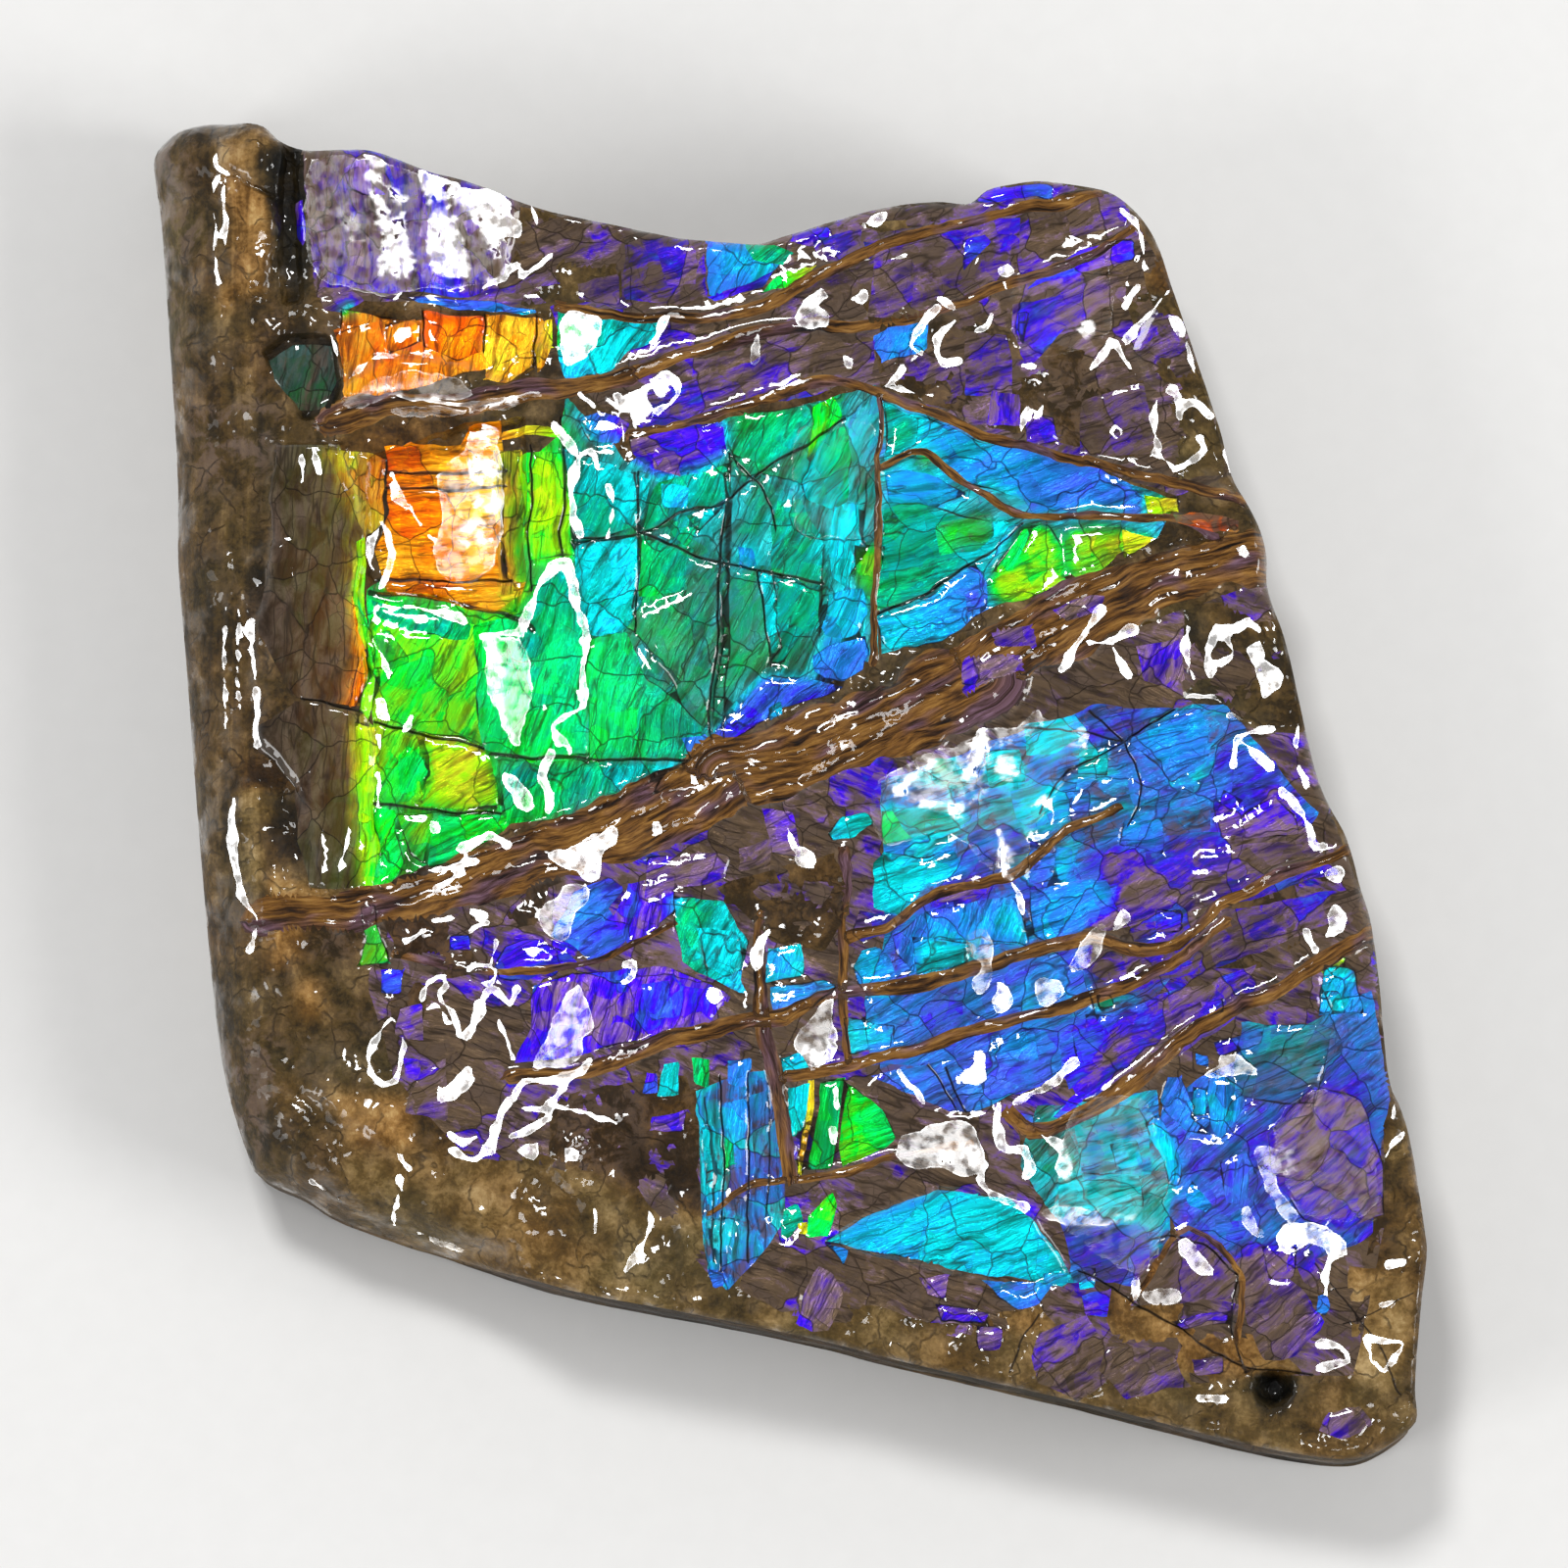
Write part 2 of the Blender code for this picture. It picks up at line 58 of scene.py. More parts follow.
# The drawing that the plan points are read from, and the stone's size, as in the solid
DRAWING_WIDTH = 1304.0
DRAWING_CENTRE = (804.0, 800.0)
PICTURE_SIDE = 1600
WIDTH = 46.6 * MM
DRAWING_UNIT = WIDTH / DRAWING_WIDTH
FACE_HEIGHT = 7.9 * MM
FACE_CROWN = 0.55 * MM
FACE_SUMMIT = (640, 760)
# Long waves of the face: direction and phase in degrees, length and rise
WAVES = (
    (12, 328, 13.0 * MM, 0.12 * MM),
    (71, 108, 9.4 * MM, 0.09 * MM),
    (128, 134, 6.7 * MM, 0.07 * MM),
    (157, 355, 4.3 * MM, 0.05 * MM),
)
SHOULDER_DROP = 1.7 * MM
ROLL_RADIUS = 1.7 * MM
ROUND_SHARE = 0.6
LEAST_ROLL_WIDTH = 0.5 * MM
RIM_RADIUS = 0.4 * MM
BACK_BEVEL = 0.45 * MM
STEP_WIDTH = 0.22 * MM
SOFT_STEP_WIDTH = 0.7 * MM
SEAM_FOOT = 0.12 * MM
PIT_DEPTH = 0.9 * MM
PIT_FLOOR_RADIUS = 0.24 * MM
PIT_MOUTH_RADIUS = 0.84 * MM
PIT_PLACE = (1298, 1417)

# How finely the visual mesh is cut
EDGE_SPACING = 0.25 * MM
LINE_SPACING = 0.16 * MM
GRID_SPACING = 0.185 * MM
GRID_CLEARANCE = 0.1 * MM
GRID_JITTER = 0.3
SNAP = 0.045 * MM
RIM_CLEARANCE = 0.09 * MM
RIM_RINGS = (0.1, 0.3, 0.55, 0.85)
MERGE_GAP = 1e-9
TINY = 1e-18
SHARP_ANGLE = 50

# The share of the outline's size that the visual mesh keeps, and its gap below the top of the solid's box
EDGE_SHRINK = 0.9985
TOP_CLEARANCE = 0.02 * MM

# A lattice of random numbers for the noise; the plan's middle lies clear of its edges
LATTICE_SIDE = 256
LATTICE = np.random.default_rng(11).random((8, LATTICE_SIDE, LATTICE_SIDE))
LATTICE_PLACE = (97.3, 41.9)
# Each octave of rough noise is finer and fainter by these, and their sum is divided by the last number
OCTAVE_SHRINK = 2.1
OCTAVE_FADE = 0.55
OCTAVE_TOTAL = 1.6

# The relief that the visual mesh adds to the solid's face and walls
ROCK_ROUGHNESS = 0.09 * MM
FACE_ROUGHNESS = 0.03 * MM
CRACK_GROOVE = 0.07 * MM
PANEL_GROOVE = 0.03 * MM
WIDEST_TILTED_PANEL = 8 * MM
CORNER_PUSH = 0.16
WALL_LEVELS = 16
WALL_DEPTH = 0.24 * MM
# Shifts of the plan: size of the lumps, reach, and the lattice layers of x and y
WARPS = ((1.3 * MM, 0.12 * MM, (0, 1)), (0.4 * MM, 0.045 * MM, (2, 3)))

# The stone's outline, the outer side of the rolled keel, and the keel's shoulder, in drawing units
EDGE = (
    152, 142, 168, 124, 186, 114, 223, 112, 262, 117, 284, 136, 312, 145, 374, 146, 433, 167, 481, 180,
    548, 205, 640, 226, 696, 237, 739, 241, 772, 243, 803, 234, 851, 219, 902, 205, 953, 198, 989, 200,
    1009, 186, 1040, 179, 1068, 177, 1099, 181, 1127, 186, 1146, 196, 1166, 215, 1183, 243, 1197, 285,
    1225, 369, 1247, 436, 1258, 481, 1275, 512, 1287, 536, 1294, 564, 1294, 592, 1300, 615, 1315, 660,
    1345, 790, 1375, 854, 1389, 904, 1400, 941, 1408, 1000, 1413, 1060, 1419, 1106, 1430, 1131,
    1441, 1170, 1454, 1254, 1456, 1282, 1451, 1325, 1446, 1381, 1444, 1417, 1446, 1445, 1441, 1456,
    1424, 1470, 1399, 1484, 1368, 1489, 1321, 1483, 1264, 1472, 1124, 1437, 1037, 1417, 924, 1391,
    835, 1368, 717, 1344, 576, 1316, 453, 1277, 348, 1241, 309, 1218, 264, 1196, 250, 1171, 229, 1101,
    216, 1016, 199, 831, 186, 662, 178, 564, 176, 455, 161, 230, 154, 174,
)
ROLL_SIDE = (
    154, 112, 161, 230, 176, 455, 186, 662, 199, 831, 216, 1016, 264, 1196, 453, 1277,
)
SHOULDER = (
    300, 112, 303, 300, 322, 420, 368, 540, 372, 720, 380, 900, 392, 1000, 405, 1100, 436, 1190,
    560, 1277,
)

# Stepped plates and hollows of the face: outline, level and width of the step
PLATES = {
    "tan_plate": ((224, 170, 240, 172, 282, 199, 280, 242, 268, 292, 242, 302, 222, 300, 217, 240),
        0.26 * MM, STEP_WIDTH),
    "upper_tan_plate": ((224, 130, 262, 120, 284, 141, 283, 194, 240, 168, 222, 164), 0.2 * MM,
        STEP_WIDTH),
    "roll_groove": ((286, 142, 301, 146, 306, 302, 288, 304), -0.38 * MM, STEP_WIDTH),
    "dark_cavity": ((270, 354, 287, 337, 332, 340, 346, 387, 338, 418, 310, 421), -0.42 * MM,
        STEP_WIDTH),
    "upper_orange": ((335, 323, 383, 314, 552, 320, 547, 372, 517, 388, 470, 368, 392, 362, 350, 388),
        -0.2 * MM, STEP_WIDTH),
    "orange_recess": ((374, 466, 430, 452, 474, 430, 532, 428, 533, 585, 526, 622, 478, 618, 439, 608,
        388, 600, 374, 586), -0.62 * MM, STEP_WIDTH),
    "chamfer_plate": ((276, 450, 274, 600, 261, 628, 258, 700, 264, 756, 303, 797, 320, 860, 333, 908,
        386, 908, 378, 817, 375, 735, 366, 600, 371, 540, 346, 450), 0.22 * MM, STEP_WIDTH),
    "keel_ledge": ((268, 548, 249, 566, 228, 601, 226, 719, 238, 783, 290, 800, 296, 902, 330, 905,
        300, 620, 290, 548), 0.14 * MM, STEP_WIDTH),
    "pale_lump": ((243, 788, 272, 796, 290, 840, 292, 900, 270, 930, 248, 905, 240, 850), 0.3 * MM,
        SOFT_STEP_WIDTH),
    "lower_stone": ((300, 1110, 400, 1176, 560, 1190, 604, 1240, 684, 1210, 700, 1344, 420, 1290),
        -0.3 * MM, SOFT_STEP_WIDTH),
    "upper_stone": ((540, 190, 640, 210, 634, 302, 520, 308, 508, 270), -0.24 * MM, SOFT_STEP_WIDTH),
    "right_stone": ((1202, 290, 1156, 352, 1176, 392, 1182, 450, 1270, 506, 1270, 420), -0.26 * MM,
        SOFT_STEP_WIDTH),
    "side_stone": ((1226, 618, 1310, 610, 1345, 740, 1300, 748, 1206, 712), -0.22 * MM,
        SOFT_STEP_WIDTH),
    "cyan_wedge": ((843, 1268, 886, 1240, 953, 1215, 1040, 1222, 1090, 1300, 1040, 1318, 1000, 1302,
        868, 1275), -0.24 * MM, STEP_WIDTH),
    "corner_stone": ((1370, 1280, 1440, 1275, 1440, 1440, 1370, 1480, 1180, 1455, 1040, 1412,
        1180, 1400, 1330, 1390), -0.18 * MM, SOFT_STEP_WIDTH),
    "violet_pane": ((1293, 1156, 1343, 1109, 1390, 1125, 1412, 1184, 1413, 1238, 1363, 1257, 1309, 1252,
        1282, 1218), 0.2 * MM, STEP_WIDTH),
    "bright_violet": ((540, 1004, 620, 980, 742, 1018, 716, 1048, 610, 1078, 524, 1084), 0.12 * MM,
        STEP_WIDTH),
}

# Raised seams: middle line, half width at its start and at its end, and rise
SEAMS = {
    "main_seam_upper": ((262, 935, 400, 922, 520, 880, 640, 842, 740, 790), 0.6 * MM, 1.3 * MM,
        0.26 * MM),
    "main_seam_middle": ((740, 790, 820, 772, 900, 736, 1000, 690), 1.35 * MM, 1.45 * MM, 0.28 * MM),
    "main_seam_right": ((1000, 690, 1090, 635, 1180, 590, 1292, 566), 1.3 * MM, 1.15 * MM, 0.26 * MM),
    "orange_seam": ((338, 425, 400, 412, 470, 408, 545, 398, 640, 382), 0.6 * MM, 0.35 * MM, 0.2 * MM),
    "upper_seam": ((570, 310, 696, 320, 781, 307, 837, 276, 916, 243, 1000, 217, 1121, 192), 0.3 * MM,
        0.3 * MM, 0.18 * MM),
    "second_seam": ((640, 382, 696, 358, 781, 334, 902, 326, 1017, 290, 1099, 264, 1158, 228), 0.4 * MM,
        0.24 * MM, 0.18 * MM),
    "third_seam": ((640, 442, 720, 424, 781, 403, 840, 385, 902, 402, 1000, 437, 1093, 465, 1268, 508),
        0.22 * MM, 0.3 * MM, 0.18 * MM),
    "wedge_seam": ((900, 474, 944, 460, 1000, 500, 1050, 524, 1190, 526, 1240, 545), 0.2 * MM,
        0.24 * MM, 0.16 * MM),
    "post_seam": ((898, 402, 896, 500, 893, 600, 890, 676), 0.16 * MM, 0.2 * MM, 0.14 * MM),
    "violet_seam": ((400, 975, 500, 992, 590, 985, 690, 945), 0.2 * MM, 0.14 * MM, 0.14 * MM),
    "lower_left_seam": ((520, 1100, 600, 1092, 680, 1064, 760, 1042, 800, 1040, 850, 1013, 920, 1008,
        1000, 986, 1090, 958, 1190, 966, 1262, 912, 1374, 866), 0.45 * MM, 0.3 * MM, 0.18 * MM),
    "blue_seam": ((866, 958, 905, 942, 960, 912, 1030, 894, 1085, 850, 1140, 822), 0.3 * MM, 0.2 * MM,
        0.16 * MM),
    "long_blue_seam": ((800, 1098, 880, 1086, 1000, 1050, 1090, 1024, 1190, 984, 1250, 940), 0.3 * MM,
        0.3 * MM, 0.16 * MM),
    "low_right_seam": ((1030, 1140, 1067, 1154, 1156, 1103, 1212, 1056, 1280, 1022, 1402, 950),
        0.4 * MM, 0.45 * MM, 0.22 * MM),
    "bottom_seam": ((722, 1236, 780, 1206, 860, 1196, 925, 1178, 990, 1170), 0.16 * MM, 0.26 * MM,
        0.16 * MM),
    "post_left": ((776, 930, 778, 1040, 792, 1110, 806, 1200), 0.34 * MM, 0.4 * MM, 0.16 * MM),
    "post_right": ((860, 870, 862, 940, 858, 1010, 866, 1090), 0.26 * MM, 0.18 * MM, 0.14 * MM),
    "pane_rim": ((1150, 1330, 1200, 1262, 1225, 1262, 1262, 1296, 1262, 1370), 0.16 * MM, 0.16 * MM,
        0.14 * MM),
}

# The first seams are the broad ones. The others show narrower than their solids, as their sides are coated
BROAD_SEAMS = 4
BROAD_SEAM_SHARE = 0.95
THIN_SEAM_SHARE = 0.7
SEAM_SWELL = 0.45

# Stone showing through: tone from black 0 to pale 1, warmth from grey-green 0 to orange-brown 1, patina of
# mauve-grey bloom, and the outline. Here and in the panels, an outline of four numbers is a box, from its
# left, top, right and bottom
STONES = (
    (0.6, 0.15, 0.85, (152, 112, 185, 112, 186, 400, 176, 455, 150, 455)),
    (0.6, 0.2, 0.9, (185, 135, 200, 155)),
    (0.6, 0.2, 0.9, (180, 205, 205, 245)),
    (0.5, 0.3, 0.9, (200, 400, 268, 400, 270, 480, 200, 480)),
    (0.5, 0.25, 0.9, (230, 1060, 275, 1060, 280, 1190, 255, 1190)),
    (0.75, 0.55, 0.1, (224, 130, 262, 120, 284, 141, 283, 194, 250, 175, 222, 164)),
    (0.78, 0.95, 0, (224, 170, 240, 172, 282, 199, 280, 242, 268, 292, 245, 300, 238, 280, 232, 200)),
    (0.7, 0.9, 0, (218, 283, 240, 318)),
    # Near-black stone in the roll's groove and in the dark cavity: painted shade in these hollows
    (0.12, 0.2, 0, (284, 140, 302, 146, 306, 302, 286, 304)),
    (0.14, 0.1, 0.1, (270, 354, 287, 337, 332, 340, 346, 387, 338, 418, 310, 421)),
    (0.5, 0.85, 0, (340, 425, 470, 425, 470, 452, 340, 455)),
    (0.52, 0.2, 0, (530, 205, 632, 222, 634, 300, 545, 312, 520, 300)),
    (0.52, 0.2, 0, (870, 205, 990, 200, 990, 236, 900, 240)),
    (0.52, 0.25, 0, (1150, 300, 1205, 285, 1258, 480, 1200, 490, 1180, 450, 1176, 395)),
    (0.42, 0.3, 0, (1210, 615, 1305, 610, 1345, 745, 1290, 748, 1206, 712)),
    (0.32, 0.8, 0.2, (375, 890, 420, 880, 520, 882, 600, 868, 640, 870, 560, 905, 545, 945, 470, 958,
        400, 962)),
    (0.34, 0.7, 0.3, (400, 962, 470, 958, 500, 990, 440, 1005, 430, 1060, 400, 1040)),
    (0.36, 0.6, 0.5, (560, 1120, 700, 1100, 720, 1140, 700, 1240, 620, 1250, 560, 1180)),
    (0.2, 0.5, 0.1, (640, 1165, 700, 1160, 715, 1240, 660, 1230)),
    (0.36, 0.75, 0.2, (660, 1115, 800, 1108, 720, 1130, 660, 1140)),
    (0.38, 0.7, 0.1, (730, 905, 850, 870, 870, 935, 840, 970, 790, 960, 760, 930)),
    (0.34, 0.8, 0.2, (1100, 800, 1160, 770, 1150, 835, 1095, 860)),
    (0.36, 0.5, 0.5, (1040, 1150, 1100, 1120, 1160, 1120, 1090, 1200, 1050, 1210)),
    (0.4, 0.6, 0.3, (1180, 900, 1350, 880, 1380, 930, 1280, 990, 1190, 985)),
    (0.42, 0.4, 0.5, (880, 300, 1040, 330, 1170, 380, 1180, 470, 1010, 430, 900, 395)),
    (0.36, 0.4, 0.5, (640, 400, 760, 370, 760, 400, 660, 430)),
    (0.66, 0.3, 0.1, (350, 1165, 560, 1180, 720, 1240, 760, 1300, 740, 1350, 576, 1316, 453, 1277,
        360, 1240)),
    (0.68, 0.7, 0, (1000, 1345, 1060, 1330, 1100, 1380, 1060, 1420, 990, 1400, 960, 1370)),
    (0.64, 0.8, 0, (1120, 1320, 1180, 1318, 1260, 1335, 1290, 1365, 1330, 1400, 1250, 1420,
        1150, 1400)),
    (0.4, 0.8, 0.3, (1080, 1240, 1170, 1240, 1200, 1262, 1140, 1290, 1085, 1300)),
    (0.4, 0.6, 0, (1390, 1040, 1412, 1040, 1420, 1130, 1418, 1280, 1395, 1280)),
    (0.55, 0.35, 0, (1415, 1110, 1430, 1110, 1456, 1282, 1430, 1290, 1415, 1200)),
    (0.5, 0.8, 0, (1150, 195, 1166, 215, 1190, 290, 1165, 290)),
    (0.75, 0.35, 0, (248, 795, 270, 795, 285, 830, 280, 860, 270, 900, 255, 925, 245, 905, 238, 850)),
    (0.35, 0.8, 0, (245, 770, 310, 800)),
    (0.26, 0.4, 0, (280, 800, 320, 800, 325, 880, 285, 880)),
    (0.75, 0.85, 0, (270, 905, 355, 985)),
    (0.7, 0.85, 0, (300, 1000, 330, 1040)),
    (0.72, 0.8, 0, (340, 1110, 420, 1110, 420, 1175, 350, 1175)),
    (0.45, 0.5, 0.5, (315, 935, 362, 975)),
    (0.5, 0.5, 0, (740, 900, 790, 930)),
    (0.65, 0.45, 0, (740, 1190, 780, 1190, 780, 1260, 750, 1260)),
    (0.8, 0.5, 0, (1375, 1290, 1440, 1300, 1440, 1360, 1420, 1420, 1380, 1400)),
    (0.7, 0.5, 0, (870, 1335, 950, 1345, 950, 1390, 880, 1375)),
    (0.55, 0.45, 0.4, (1070, 1370, 1150, 1375, 1150, 1430, 1075, 1415)),
    (0.62, 0.3, 0.1, (760, 1340, 870, 1330, 960, 1350, 1100, 1360, 1200, 1400, 1350, 1410, 1440, 1430,
        1440, 1480, 1320, 1490, 1100, 1440, 924, 1400, 760, 1360)),
    # Black in the pit: painted shade
    (0.0, 0.2, 0, (1278, 1405, 1318, 1435)),
)
PLAIN_GROUND = (0.5, 0.35, 0.2)
STONE_SOFTENING = 3

# Shell panels: film, flash, mottle, grain direction in degrees, outline. The film runs from 0 red-orange
# through green, teal and blue to 0.9 violet, and on to 1 brown. A triple gives the two ends of a value and
# the way from one to the other
PANELS = (
    (0.985, 0.6, 1, 20, (306, 146, 374, 146, 433, 167, 548, 205, 640, 226, 739, 241, 803, 234, 902, 205,
        989, 200, 1068, 177, 1146, 196, 1197, 285, 1258, 481, 1200, 505, 1093, 465, 1000, 437, 902, 402,
        840, 385, 720, 424, 640, 442, 600, 400, 560, 310, 320, 300)),
    (0.975, 0.6, 1, 160, (380, 920, 520, 880, 740, 800, 1000, 700, 1292, 590, 1345, 790, 1400, 941,
        1413, 1100, 1415, 1250, 1380, 1400, 1200, 1410, 1000, 1370, 800, 1340, 720, 1300, 640, 1200,
        480, 1180, 400, 1100, 375, 1000)),
    ((0.5, 0.6, 0), 0.45, 0.5, 65, (575, 400, 640, 470, 745, 425, 895, 392, 895, 670, 740, 750,
        660, 810, 510, 845, 500, 770, 590, 770, 575, 560)),
    (0.66, 0.5, 0.5, 20, (898, 404, 1000, 440, 1093, 465, 1200, 510, 1180, 545, 1040, 610, 898, 668)),
    (0.09, 0.65, 0.4, 85, (340, 318, 565, 320, 555, 385, 350, 388)),
    (0.4, 0.4, 0.5, 75, (375, 600, 575, 440, 600, 780, 510, 845, 390, 905)),
    (0.93, 0.45, 0.8, 90, (308, 146, 374, 146, 433, 167, 481, 180, 530, 200, 520, 262, 500, 290,
        478, 298, 320, 290)),
    (0.9, 0.95, 0.2, 90, (352, 168, 365, 158, 375, 160, 378, 185, 392, 195, 372, 195, 356, 188)),
    (0.9, 0.9, 0.2, 90, (425, 195, 435, 203, 430, 240, 420, 235)),
    (0.9, 0.9, 0.2, 90, (435, 262, 445, 272, 474, 278, 470, 288, 440, 284)),
    (0.9, 0.8, 0.2, 90, (475, 220, 485, 215, 490, 228, 478, 235)),
    (0.93, 0.8, 0.2, 90, (350, 240, 370, 265)),
    (0.95, 0.6, 0.3, 90, (320, 175, 335, 205)),
    (0.9, 0.9, 0, 90, (302, 200, 308, 195, 312, 225, 308, 245, 303, 235)),
    (0.94, 0.35, 0.5, 20, (325, 300, 362, 296, 372, 302, 350, 314, 330, 312)),
    (0.8, 0.9, 0.3, 10, (415, 300, 470, 300, 545, 312, 545, 318, 500, 314, 425, 306)),
    (0.93, 0.3, 1, 20, (634, 226, 720, 236, 722, 300, 690, 306, 636, 300)),
    (0.9, 0.7, 0.6, 20, (675, 245, 710, 285)),
    (0.93, 0.3, 0.5, 20, (590, 280, 630, 300)),
    ((0.74, 0.66, 0), 1, 0.1, 60, (722, 240, 772, 243, 808, 256, 780, 284, 724, 300)),
    (0.5, 1, 0.1, 40, (757, 243, 790, 246, 812, 254, 800, 268, 770, 262)),
    (0.84, 0.9, 0.2, 20, (722, 300, 770, 284, 790, 274, 780, 290, 730, 304)),
    ((0.45, 0.22, 0), 0.9, 0.2, 30, (776, 296, 800, 275, 832, 268, 820, 280, 800, 292)),
    (0.1, 0.55, 0.5, 80, (340, 330, 384, 322, 390, 345, 372, 368, 350, 386)),
    (0.11, 0.8, 0.4, 80, (385, 318, 430, 316, 432, 350, 395, 362)),
    (0.04, 1, 0.2, 80, (430, 315, 492, 318, 490, 352, 470, 365, 432, 352)),
    (0.15, 1, 0.2, 80, (492, 316, 552, 322, 545, 372, 517, 388, 495, 384, 490, 350)),
    (0.17, 0.8, 0.3, 80, (546, 326, 562, 322, 566, 345, 556, 372, 550, 380, 545, 350)),
    (0.62, 0.95, 0.3, 60, (568, 315, 610, 318, 680, 322, 664, 345, 640, 356, 622, 372, 575, 385)),
    (0.46, 0.9, 0.2, 60, (575, 322, 590, 345)),
    ((0.7, 0.86, 0), 0.8, 0.4, 60, (590, 425, 612, 418, 640, 430, 630, 452, 600, 450)),
    (0.9, 0.95, 0.2, 20, (806, 242, 815, 228, 845, 226, 852, 235, 830, 248)),
    (0.93, 0.3, 0.8, 20, (830, 237, 880, 235, 880, 252, 835, 255)),
    (0.93, 0.5, 0.4, 20, (884, 243, 904, 247, 888, 262)),
    (0.93, 0.5, 0.8, 20, (893, 262, 935, 262, 932, 300, 905, 322, 884, 320, 890, 290)),
    ((0.78, 0.72, 0), 0.95, 0.2, 60, (890, 340, 925, 323, 948, 325, 945, 355, 928, 360, 900, 366,
        890, 350)),
    ((0.9, 0.84, 0), 0.8, 0.3, 10, (990, 200, 1000, 194, 1010, 186, 1068, 180, 1077, 184, 1075, 195,
        1010, 200)),
    (0.9, 0.6, 0.4, 20, (980, 240, 1006, 232, 1010, 240, 990, 260, 983, 270)),
    (0.93, 0.4, 0.4, 20, (1018, 220, 1040, 235)),
    (0.95, 0.5, 0.7, 20, (1085, 205, 1115, 195, 1140, 190, 1150, 205, 1150, 225, 1125, 232, 1095, 238)),
    ((0.9, 0.86, 0), 0.9, 0.3, 25, (1050, 292, 1080, 268, 1105, 250, 1130, 243, 1158, 240, 1160, 258,
        1130, 268, 1110, 274, 1080, 282)),
    (0.92, 0.6, 0.6, 25, (1035, 305, 1080, 300, 1120, 280, 1155, 275, 1150, 300, 1130, 310, 1115, 320,
        1090, 330, 1075, 345, 1050, 365, 1040, 360, 1032, 330)),
    (0.89, 1, 0.1, 80, (1036, 312, 1046, 345)),
    (0.93, 0.35, 0.9, 20, (1100, 395, 1172, 455)),
    (0.93, 0.35, 0.9, 20, (980, 330, 1035, 400)),
    (0.91, 0.7, 0.5, 80, (1015, 395, 1040, 430)),
    (0.9, 0.7, 0.4, 20, (1045, 420, 1080, 450)),
    (0.92, 0.45, 0.8, 20, (640, 400, 700, 385, 760, 365, 850, 345, 892, 345, 890, 380, 840, 395,
        780, 408, 700, 425, 650, 440)),
    (0.9, 0.75, 0.3, 20, (640, 445, 700, 432, 735, 428, 742, 450, 735, 462, 700, 480, 670, 482,
        645, 460)),
    (0.88, 1, 0.1, 20, (665, 455, 690, 480)),
    (0.88, 1, 0.1, 20, (720, 430, 740, 455)),
    # Nacre of the keel's shoulder, which turns down and away to the left, is given almost no flash: painted
    # shade
    ((0.2, 0.14, 0), (0.0, 0.06, 0), 0.5, 85, (278, 450, 345, 450, 372, 540, 368, 600, 372, 640,
        372, 720, 320, 715, 300, 710, 262, 640, 275, 560)),
    (0.16, 0.45, 0.3, 85, (330, 455, 372, 460, 390, 465, 390, 530, 372, 545, 350, 500)),
    (0.11, 0.9, 0.2, 85, (358, 600, 371, 640, 375, 690, 362, 720, 355, 720, 366, 660)),
    (0.3, 0.9, 0.2, 85, (362, 550, 370, 545, 372, 600, 376, 640, 374, 660, 366, 640, 360, 600)),
    (0.36, 1, 0.1, 85, (364, 600, 378, 640, 384, 668, 386, 700, 376, 735, 364, 735, 372, 690, 376, 660,
        368, 630)),
    # More of the shoulder's nacre, given almost no flash where it turns away: painted shade
    ((0.16, 0.26, 0), (0.0, 0.05, 0), 0.5, 85, (262, 740, 300, 715, 372, 725, 382, 740, 385, 800,
        390, 905, 320, 905, 305, 860, 300, 800, 262, 765)),
    (0.3, 0.9, 0.2, 85, (362, 735, 383, 740, 380, 790, 388, 860, 392, 905, 375, 905, 366, 850,
        362, 790)),
    (0.34, 0.45, 0.4, 60, (362, 985, 372, 960, 368, 925, 385, 925, 388, 960, 395, 985)),
    ((0.05, 0.1, 0), 1, 0.25, 5, (390, 455, 470, 448, 478, 430, 512, 425, 515, 600, 480, 618, 440, 605,
        395, 600, 380, 560, 395, 520)),
    (0.12, 1, 0.2, 5, (500, 450, 516, 590)),
    ((0.05, 0.2, 0), 1, 0.2, 5, (440, 590, 520, 588, 535, 590, 530, 605, 500, 622, 470, 615, 440, 605)),
    ((0.12, 0.34, 0), 0.95, 0.3, 5, (510, 425, 575, 428, 575, 452, 510, 452)),
    (0.16, 0.5, 0.5, 85, (512, 455, 542, 600)),
    (0.33, 0.95, 0.3, 85, (542, 458, 572, 458, 572, 565, 540, 567)),
    ((0.38, 0.33, -60), (1, 0.5, -60), 0.2, 60, (377, 605, 430, 622, 486, 636, 489, 766, 383, 735,
        380, 680)),
    (0.5, 0.9, 0.2, 60, (380, 608, 420, 622, 482, 636, 480, 650, 420, 646, 385, 625)),
    (0.42, 0.25, 0.3, 60, (380, 645, 395, 640, 422, 672, 400, 680)),
    (0.32, 0.65, 0.3, 60, (383, 738, 420, 742, 432, 748, 440, 775, 435, 800, 420, 820, 383, 815)),
    (0.38, 1, 0.1, 60, (405, 770, 415, 760, 430, 770, 438, 790, 425, 805, 408, 810)),
    ((0.28, 0.22, 0), 0.8, 0.3, 30, (425, 745, 470, 755, 490, 768, 500, 780, 508, 800, 508, 825,
        420, 820, 440, 790)),
    (0.38, 1, 0.1, 60, (383, 822, 405, 825, 405, 850, 412, 880, 405, 895, 395, 910, 383, 905,
        388, 870)),
    (0.34, 0.5, 0.4, 60, (405, 828, 440, 828, 435, 860, 432, 880, 420, 870)),
    (0.42, 0.95, 0.2, 20, (445, 830, 515, 832, 515, 848, 480, 870, 455, 880, 435, 885)),
    ((0.42, 0.48, 0), 0.95, 0.2, 70, (484, 637, 548, 624, 600, 655, 600, 770, 530, 772, 489, 766)),
    ((0.46, 0.56, 90), 0.9, 0.2, 70, (548, 590, 575, 575, 590, 600, 598, 660, 590, 715, 545, 720,
        530, 660)),
